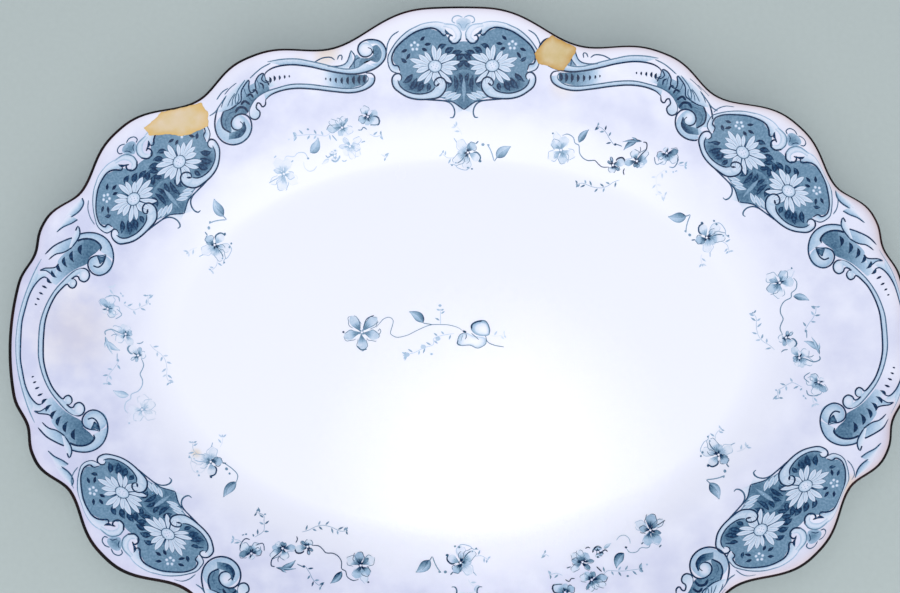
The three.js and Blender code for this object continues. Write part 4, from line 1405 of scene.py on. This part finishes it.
# Twig: a hair line with dashes for leaves, uneven by sines in length and lean, some missing, three at the tip
def twig(points, strength):
    form = twigForm
    path = evenly(points, spacing=form["spacing"])
    marks = [stroke(points, form["hair"][0], form["hair"][1] * strength)]
    along = np.gradient(path, axis=0)
    along = along / np.linalg.norm(along, axis=1, keepdims=True)
    (lean, leanWaver), (length, lengthWaver), (deep, deepWaver) = form["lean"], form["length"], form["tone"]
    longShare, wideShare = form["leafShares"]
    stations = np.arange(int(form["every"]), len(path) - 1, max(2, int(form["every"] / form["spacing"])))
    dashes = [(station, hand, length + lengthWaver * math.sin(2.3 * count + 2 * hand))
              for count, station in enumerate(stations) for hand in (-1, 1)
              if math.sin(4.1 * count + 1.3 * hand) > form["missing"]]
    dashes += [(len(path) - 1, hand, long) for hand, long in form["tip"]]
    for station, hand, long in dashes:
        ahead, side = along[station], np.array([-along[station][1], along[station][0]])
        leaning = (lean + leanWaver * math.sin(station)) * ahead + hand * side
        aim = leaning * form["leaf"] * longShare * long
        tone = strength * (deep + deepWaver * math.sin(1.9 * station + hand))
        base, tip = path[station] + 0.15 * aim, path[station] + aim
        marks.append(leaf(base, tip, form["leaf"] * wideShare, (tone, 0.9 * tone, tone), band))
    return marks


# Spray marks from a table: twigs, drawn lines, leaf blades, flowers, fills and dots
def sprayMarks(motif, strength):
    marks = [mark for points, tone in motif["twigs"] for mark in twig(points, tone * strength)]
    marks += [stroke(points, width, tone * strength) for points, width, tone in motif["lines"]]
    for base, tip, width, tone, bow in motif["blades"]:
        marks.append(blade(base, tip, width, tone * strength, bow))
    for middle, petals in motif["flowers"]:
        marks += fieldFlower(middle, petals, strength, motif["ring"])
    marks += [blot(outline, tones, shade, paleAt) for outline, tones, paleAt in motif["fills"]]
    for dot, size, tone in motif["dots"]:
        marks.append(blot(oval(dot, size, 0.8 * size), [tone * strength] * 2, line))
    return marks


# Long spray, in millimetres about its middle flower: a cluster, a trailing stem with a leaf and a last open
# flower
longSpray = {
    "ring": 1.0,
    "fills": [],
    "twigs": [
        ([(-12.6, 5), (-9.2, 7.3), (-8.6, 9), (-9, 12.4), (-9.4, 15), (-12.4, 16.2)], 0.5),
        ([(8.2, 7.4), (11, 8.2), (14, 9.8), (17.2, 10.4), (21, 9.6), (25, 7.8), (27.6, 7.8)], 0.46),
        ([(10.4, -7.8), (12.6, -11), (13.6, -13), (15.6, -15.4), (17.6, -16.6)], 0.58),
        ([(-17.6, 1.6), (-19.2, 3.6), (-21.4, 4)], 0.36),
    ],
    "lines": [
        ([(12.8, 1.4), (15.9, 1.1), (17.8, -0.4), (19.4, -2), (22.4, -2.2), (24.8, -3.5), (26.4, -5.9),
            (26.6, -9), (28.4, -10.1), (29.2, -12.6), (31.8, -14.2), (34.2, -13.8)], 0.42, 0.82),
        ([(0, -0.6), (-2.6, -3), (-4.2, -4.4), (-4.7, -6), (-4.5, -7.6), (-3, -8)], 0.55, 0.88),
        ([(-1, -3.4), (-1.8, -4.6), (-1.6, -6)], 0.34, 0.8),
        ([(-12, 1.4), (-9.2, 2.4), (-8.3, 1.4), (-8, -1)], 0.42, 0.82),
        ([(-18.8, -0.4), (-18.2, 2.6), (-16.6, 4.4), (-14.6, 4)], 0.5, 0.82),
        ([(5.9, 5.4), (6.3, 4), (5.7, 2.6)], 0.5, 0.86),
        ([(6.8, -6.9), (8.2, -7.6), (9.9, -8.2)], 0.4, 0.7), ([(-13.4, 6.4), (-13, 5.4)], 0.7, 0.6),
        ([(-18.2, 6), (-17.2, 6.2)], 0.5, 0.55),
    ],
    "blades": [
        ((26.6, -10.2), (21.8, -15.4), 3.4, 1.0, 0.08), ((-0.4, -8.9), (6, -5.2), 2.8, 0.95, -0.1),
        ((-2.4, -8.4), (6.4, -8.9), 1.5, 0.95, -0.04), ((-0.4, -9), (2.2, -10.6), 1.1, 0.85, 0.0),
    ],
    "flowers": [
        ((-13.6, -2.2), [(140, 6.4, 4.2, "white"), (55, 5.4, 4.2, "white"), (188, 5.4, 3.2, "dark"),
            (14, 4.6, 3.6, "shaded"), (104, 3.6, 1.3, "dark"), (-82, 2.6, 2.4, "faint")]),
        ((0, 0), [(218, 6.4, 3.4, "white"), (-72, 5.2, 3.8, "white"), (177, 4.6, 3.4, "soft"),
            (2, 5.8, 3, "soft"), (102, 3, 1.8, "dark"), (62, 2.8, 1.5, "dark"), (140, 4, 2.6, "faint")]),
        ((11, 0.7), [(76, 3.2, 3.6, "white"), (196, 5.6, 3.8, "arched"), (142, 4, 1.6, "dark"),
            (-38, 3.2, 1.1, "dark"), (-76, 3.8, 1.1, "shaded")]),
        ((35, -7.7), [(152, 7, 4.6, "white"), (30, 6.8, 4.8, "white"), (106, 6.2, 5, "shaded"),
            (-112, 6, 4.4, "soft"), (-48, 5.8, 4, "shaded"), (-72, 8, 3.2, "faint"),
            (44, 4.8, 1.5, "dark")]),
    ],
    "dots": [
        ((-8.8, 15.4), 0.5, 0.4), ((9.8, -8), 0.7, 0.75), ((38.6, -15), 0.5, 0.85),
        ((-16.4, 6.4), 0.5, 0.5),
    ],
}

# Clustered spray, about its second lowest flower: three flowers, a capped bud, a leaf and one flower on a
# long stem
clusterSpray = {
    "ring": 1.0,
    "fills": [],
    "twigs": [
        ([(4.8, 2), (7.4, 4), (10.4, 3.9), (13.4, 3.8), (16, 4), (21.8, 4.8)], 0.42),
        ([(-12.8, 2), (-15.4, 3), (-18, 2.4)], 0.36), ([(-18.4, 10.4), (-20.4, 11.6)], 0.3),
    ],
    "lines": [
        ([(26.8, 16), (25.6, 14), (22.4, 14), (20.4, 12.2), (17.4, 12), (15.8, 14)], 0.36, 0.48),
        ([(11.8, 17.4), (13.4, 19.2), (15.7, 19.6), (17.5, 18), (17.8, 15.8)], 0.34, 0.36),
        ([(1, 12), (1.6, 13.6), (3.3, 14.7), (5, 14)], 0.85, 0.97),
        ([(5, 12.2), (6.6, 13.2), (7.6, 12.4)], 0.6, 0.86), ([(4.6, 3.6), (2.4, 5.8)], 0.6, 0.9),
        ([(-11.6, 0.2), (-10, -0.7), (-9, 0.6), (-7.4, 0.6)], 0.5, 0.92),
        ([(-2.2, 13.8), (-1, 14.4), (0, 14)], 0.5, 0.85), ([(-10.8, 5.2), (-9, 5.8)], 0.5, 0.75),
        ([(-17.8, -4), (-16.6, -2.2), (-13, -1.8)], 0.5, 0.8),
        ([(29.6, 23.8), (31.4, 24.6), (33.8, 26.2)], 0.45, 0.88), ([(22.6, 15.6), (23.6, 16.4)], 0.6, 0.75),
        ([(30.4, 14.2), (31.4, 15.2)], 0.6, 0.72),
    ],
    "blades": [((14.8, 11.6), (11.2, 5), 4.4, 0.86, -0.14), ((6, 13.8), (9.4, 16.2), 1.7, 0.42, 0.0)],
    "flowers": [
        ((-11.9, -5.4), [(150, 6, 4.6, "arched"), (92, 3.8, 3.2, "soft"), (28, 4.6, 3.6, "shaded"),
            (204, 5, 3.6, "soft"), (-64, 5, 4, "white")]),
        ((-3.7, 7.8), [(106, 5.6, 3.4, "white"), (142, 6, 3.2, "white"), (218, 6.4, 2.8, "white"),
            (58, 4.6, 3.6, "soft"), (176, 4.8, 3.2, "shaded"), (-48, 4.6, 2.2, "dark"),
            (6, 5.2, 1.7, "dark")]),
        ((3.4, 12.2), [(100, 2.4, 4, "soft"), (-30, 2.4, 2, "shaded"), (-95, 2.6, 2, "faint")]),
        ((0, 0), [(166, 5.2, 3.6, "white"), (-94, 5, 2.8, "white"), (-58, 4.6, 2.8, "white"),
            (-24, 6.6, 3.2, "white"), (130, 4.4, 2.6, "soft"), (9, 7.2, 3.4, "shaded"),
            (76, 3.8, 2.6, "dark"), (-120, 5, 1.2, "dark")]),
        ((27, 21.7), [(152, 7.2, 4.6, "faint"), (38, 7.8, 3, "white"), (82, 7.6, 5.2, "shaded"),
            (-60, 7, 4.4, "soft"), (-108, 7, 4.2, "soft"), (172, 4.8, 3.4, "shaded"),
            (-20, 4.8, 2.2, "dark")]),
    ],
    "dots": [
        ((15.8, 14.2), 0.6, 0.8), ((21.8, 4.8), 0.6, 0.55), ((15.9, 1.6), 0.6, 0.55),
        ((24.6, 6.6), 0.5, 0.3), ((3.2, 10), 0.6, 0.9),
    ],
}

# Small sprig: one flower, a curling stem and a leaf beyond it on the right
smallSprig = {
    "ring": 1.0,
    "fills": [],
    "twigs": [
        ([(-6.4, -2.6), (-9.6, -2.6), (-12, -1)], 0.34), ([(-3, 7.4), (-4, 9.4), (-5.6, 10.8)], 0.22),
    ],
    "lines": [
        ([(9, 3.8), (10.4, 1.8), (11.6, -0.8), (12.4, -3.4)], 0.5, 0.55),
        ([(12.6, -3.6), (13.6, -2.2), (14.2, -1.6)], 0.45, 0.7),
        ([(-1.6, -2), (-3.4, -4), (-5, -5)], 0.5, 0.86), ([(-5.4, 4.2), (-6.8, 6)], 0.4, 0.4),
        ([(3.6, 3.8), (4.8, 5)], 0.6, 0.8),
        ([(-8.4, -5.6), (-6, -5.8), (-4.6, -7.2), (-1, -8.2), (1.2, -7)], 0.32, 0.4),
    ],
    "blades": [((13.6, -2), (20.2, 3), 5, 0.82, 0.06), ((14.2, -2.2), (17.4, 2), 2.2, 0.9, 0.16)],
    "flowers": [
        ((0, 0), [(-94, 8, 4, "faint"), (-142, 8.4, 4.8, "white"), (136, 7, 4.6, "faint"),
            (-31, 6.6, 4.6, "arched"), (186, 5, 3, "soft"), (-96, 5, 2.4, "shaded"), (52, 5.2, 4, "shaded"),
            (90, 4, 1.2, "dark")]),
    ],
    "dots": [
        ((5.9, -3.8), 0.7, 0.9), ((0.2, -7), 0.6, 0.7), ((2.1, -7.5), 0.55, 0.7), ((-5.6, -4.8), 0.5, 0.5),
        ((7, 3.6), 0.8, 0.6), ((9.6, 3.4), 0.6, 0.6), ((-7.4, -6), 0.5, 0.7),
    ],
}

# The same sprig with its leaf hanging back
hangingSprig = {
    **smallSprig,
    "lines": [([(3.6, 4.2), (8.4, 5.6), (12.4, 5.8), (14.8, 3.4)], 0.42, 0.6), *smallSprig["lines"][2:]],
    "blades": [((14.6, 3.4), (17, -4.8), 4.6, 0.82, -0.06), ((14.8, 2.6), (16.4, -3), 1.8, 0.9, -0.12)],
}

# Sprig in the well, in millimetres about its open flower: a looping stem with a bud in its cup and three
# faint twigs
budEdge = [(51, 0.6), (51, 3.2), (53.8, 4.9), (57.6, 4.9), (59.4, 1.4), (59.2, -1.6)]
cupEdge = [(48.2, -0.4), (45.4, -1.7), (44.4, -5.6), (46.2, -6.5), (50.4, -6.4), (53.8, -7.8), (57.4, -6)]
centreSprig = {
    "ring": 0.55,
    "fills": [
        ([*budEdge, (56.4, -2.2), (53, -1.4)], [0.02, 0.06, 0.14, 0.5], (57, 0.6)),
        ([*cupEdge, (57.4, -3), (52, -2)], [0.02, 0.04, 0.1, 0.26], (52, -4.6)),
    ],
    "twigs": [
        ([(36.6, 3.6), (36.6, 7), (36.6, 10)], 0.34),
        ([(43, -0.8), (37, -1.8), (33.4, -3.2), (33.2, -6), (29, -7.4), (24.6, -9.6), (20.6, -10.6)], 0.3),
        ([(59.8, -2), (63, -2.2), (66, -1.6)], 0.16),
    ],
    "lines": [
        ([(6.6, 2.3), (8.4, 4.4), (10.2, 6.3), (12.8, 7), (14.6, 5.2), (13.4, 0.4), (13.4, -0.8),
            (15.4, -2.2), (17.4, -2.4), (21.4, -1.4), (25, 0.4), (29.8, 2.6), (33, 3.4), (36.8, 3.4),
            (40.4, 3.2), (44.6, 2), (47, 0.4)], 0.34, 0.56),
        ([(28.4, 4.2), (30.6, 3.8), (33, 3.4)], 0.4, 0.66), ([(47, 0.4), (48.6, -0.4)], 1.0, 0.86),
        (budEdge, 0.46, 0.72), ([(51, 1.2), (51.4, 3.4), (53.8, 4.7), (55.8, 4.9)], 0.8, 0.86),
        ([(51, -0.8), (52.6, -2.2), (54.4, -3.8)], 0.42, 0.7),
        ([*cupEdge, (57.8, -3.4), (57.4, -2)], 0.36, 0.62),
        ([(44.8, -4), (44.4, -5.6), (46.2, -6.5)], 0.6, 0.74),
        ([(48.4, -0.8), (48.6, -2.4), (48, -3.6)], 0.5, 0.72),
        ([(47, -1.4), (46.4, -3.2), (46, -4.6)], 0.3, 0.5),
        ([(57.6, -2.2), (58.4, -4.8), (61.4, -6.4), (66, -7.3)], 0.42, 0.6),
        ([(0.6, 2), (2.2, 6.2), (5.6, 8)], 0.46, 0.78), ([(7.8, 5), (5.4, 3.2), (2.4, 1.8)], 0.32, 0.6),
        ([(-0.8, 1.6), (-1, 4.4), (-1.8, 6.4)], 0.4, 0.72),
        ([(-2.2, -6.4), (-0.2, -8.2), (2.4, -7.8)], 0.7, 0.74),
        ([(7.4, 0.4), (8.4, 1.6), (8.8, 0.2), (7.6, -1.4)], 0.34, 0.62),
    ],
    "blades": [((28.6, 4.4), (22, 9.6), 4.6, 0.72, -0.1)],
    "flowers": [
        ((0, 0), [(128, 9.4, 5, "shadow"), (45, 9.8, 4.8, "shadow"), (-18, 8.4, 5, "shadow"),
            (-88, 8.6, 4.8, "shadow"), (196, 8.8, 4.8, "shadow")]),
    ],
    "dots": [
        ((-8.6, 0.2), 0.6, 0.85), ((36.4, 12.4), 0.8, 0.3), ((35.4, -3.2), 1.2, 0.24),
        ((28.6, -7), 1.3, 0.22), ((21, -10.6), 1.3, 0.26), ((32.4, -10.4), 0.7, 0.28),
    ],
}

# Where each spray lies: place in millimetres, turn in degrees, strength of the print; the far sprig's is
# lowered partly as a painted highlight, where glare pales the print
spread = [
    ("long_spray_near_left", longSpray, (-79.1, -93.7), 0, 1.08),
    ("long_spray_far_right", longSpray, (84.2, 84.7), 182, 1.1),
    ("long_spray_left", longSpray, (-153, 4.1), -64, 0.52),
    ("long_spray_right", longSpray, (155.4, -9.1), 114, 0.7),
    ("cluster_spray_near_right", clusterSpray, (58.8, -108.1), 0, 1.08),
    ("cluster_spray_far_left", clusterSpray, (-53.9, 101.3), 178, 0.85),
    ("small_sprig_near", smallSprig, (0.6, -100.4), 183, 0.95),
    # printed weaker partly as a painted highlight, where glare pales the print
    ("small_sprig_far", smallSprig, (5.1, 91.1), -2, 0.75),
    ("small_sprig_near_left", hangingSprig, (-113.6, -54.3), -51, 0.9),
    ("small_sprig_far_right", smallSprig, (116.5, 49.1), 141, 0.85),
    ("small_sprig_far_left", smallSprig, (-114.3, 47.5), 80, 0.75),
    ("small_sprig_near_right", smallSprig, (118.4, -52.4), 257, 0.9),
    ("centre_sprig", centreSprig, (-44.8, 5.6), 0, 1.05),
]
for name, motif, place, turn, strength in spread:
    printPiece(name, stamped(sprayMarks(motif, strength), place, turn))
print("sprays printed")


# Scars where flakes of glaze are lost: bare body in a shallow dish with a slightly ragged outline
scarForm = {
    "round": 160,
    "rings": [*np.linspace(0.02, 0.9, 24), 0.94, 0.97, 0.99, 1.0, 0.02],    # shares, the last one below
    "raised": ([0, 0.9, 1], [0.32, 0.3, 0.17]),     # heights above the dish at three shares
    "sunk": -0.15,
    "ragged": [(0.008, 2.9, 0), (0.012, 1.3, 1)],   # share, radians a millimetre, start
    "staining": 3,
}


# Scar: rings from the middle to the outline, which waves by two sines; the tone is a power of the share
def flakeScar(name, flake, clay):
    middle = planPoint(np.radians(flake["angle"]), np.array(flake["inward"]))
    polygon = np.array(flake["outline"] + flake["outline"][:1], float)
    steps = np.linspace(0, travelledAlong(polygon)[-1], scarForm["round"], endpoint=False)
    ragged = 1 + sum(share * np.sin(steps * rate + start) for share, rate, start in scarForm["ragged"])
    ring = placesAlong(polygon, steps) * ragged[:, None]
    share = np.array(scarForm["rings"])
    plan = middle + ring[None] * share[:, None, None]
    lift = np.interp(share, *scarForm["raised"])[:, None] * np.ones(len(ring))
    lift[-2:] = scarForm["sunk"]
    rows, columns = plan.shape[:2]
    ends = [np.arange(columns)[None], (rows * columns - 1 - np.arange(columns))[None]]
    corners = onFace(plan.reshape(-1, 2), lift.ravel())[0]
    tone = np.broadcast_to(share[:, None] ** scarForm["staining"], (rows, columns)).ravel()
    addPiece(name, corners, [gridQuads(rows, columns, wrapColumns=True), *ends], clay, "biscuit", tone=tone)


scarClays = {
    "left": bareBiscuit("stained_biscuit_scar", "#dfcbad", "#d9c393", "#dcb873"),
    "top": bareBiscuit("browned_biscuit_scar", "#d8c398", "#cdb67e", "#c79c52"),
}
for side, flake in flakes.items():
    flakeScar("flake_scar_" + side, flake, scarClays[side])
print("flakes bared")

# Light, in metres: a broad soft one from the front, a soft fill from above and a narrow beam into the well
lights = {
    "front_softbox": {"place": (0.15, -1.1, 1.5), "aim": (0, 0, 0.02), "size": 1.6, "power": 11.5,
                      "colour": "#fffefb", "reflected": True, "spread": 180},
    "top_softbox": {"place": (-0.02, -0.05, 1.25), "aim": (0, 0, 0.02), "size": 0.9, "power": 4.4,
                    "colour": "#fbfbff", "reflected": False, "spread": 180},
    "glare_lamp": {"place": (0.05, 0.034, 1.3), "aim": (0.018, -0.055, 0.012), "size": 0.1, "power": 0.0066,
                   "colour": "#ffffff", "reflected": False, "spread": 4.4},
}
studio = {"sky": "#eef1fa", "skyStrength": 0.62}


# Disc lamp at a place, turned to look along the line to its aim
def addLight(name, place, aim, size, power, colour, reflected, spread):
    data = bpy.data.lights.new(name, "AREA")
    data.shape, data.size, data.energy, data.color = "DISK", size, power, linearColour(colour)[:3]
    data.spread = math.radians(spread)
    light = bpy.data.objects.new(name, data)
    light.location = place
    light.visible_glossy = reflected
    light.rotation_euler = (Vector(aim) - Vector(place)).to_track_quat("-Z", "Y").to_euler()
    bpy.context.scene.collection.objects.link(light)


for name, settings in lights.items():
    addLight(name, **settings)
world = bpy.data.worlds.new("studio")
world.use_nodes = True
sky = world.node_tree.nodes["Background"].inputs
sky["Color"].default_value = linearColour(studio["sky"])
sky["Strength"].default_value = studio["skyStrength"]
bpy.context.scene.world = world
bpy.context.scene.view_settings.view_transform = "Standard"

# Floor: a pale matte board with a faint fibre, sizes in metres and millimetres
board = {"half": 4, "pale": "#bac5c2", "dark": "#b4bfbc", "fibre": 2.5, "roughness": 0.9}
half = board["half"]
floorCorners = [(-half, -half, 0), (half, -half, 0), (half, half, 0), (-half, half, 0)]
floorMesh = bpy.data.meshes.new("floor")
floorMesh.from_pydata(floorCorners, [], [(0, 1, 2, 3)])
floor = bpy.data.objects.new("floor", floorMesh)
bpy.context.scene.collection.objects.link(floor)
floorMaterial, floorTree, floorShader = newMaterial("pale_matte_board")
floorPlace = addNode(floorTree, "ShaderNodeTexCoord").outputs["Object"]
fibre = noise(floorTree, floorPlace, board["fibre"], 2.0)
floorColour = mixed(floorTree, fibre, linearColour(board["dark"]), linearColour(board["pale"]))
floorTree.links.new(floorColour, floorShader.inputs["Base Color"])
floorShader.inputs["Roughness"].default_value = board["roughness"]
floorMesh.materials.append(floorMaterial)
print("studio lit")
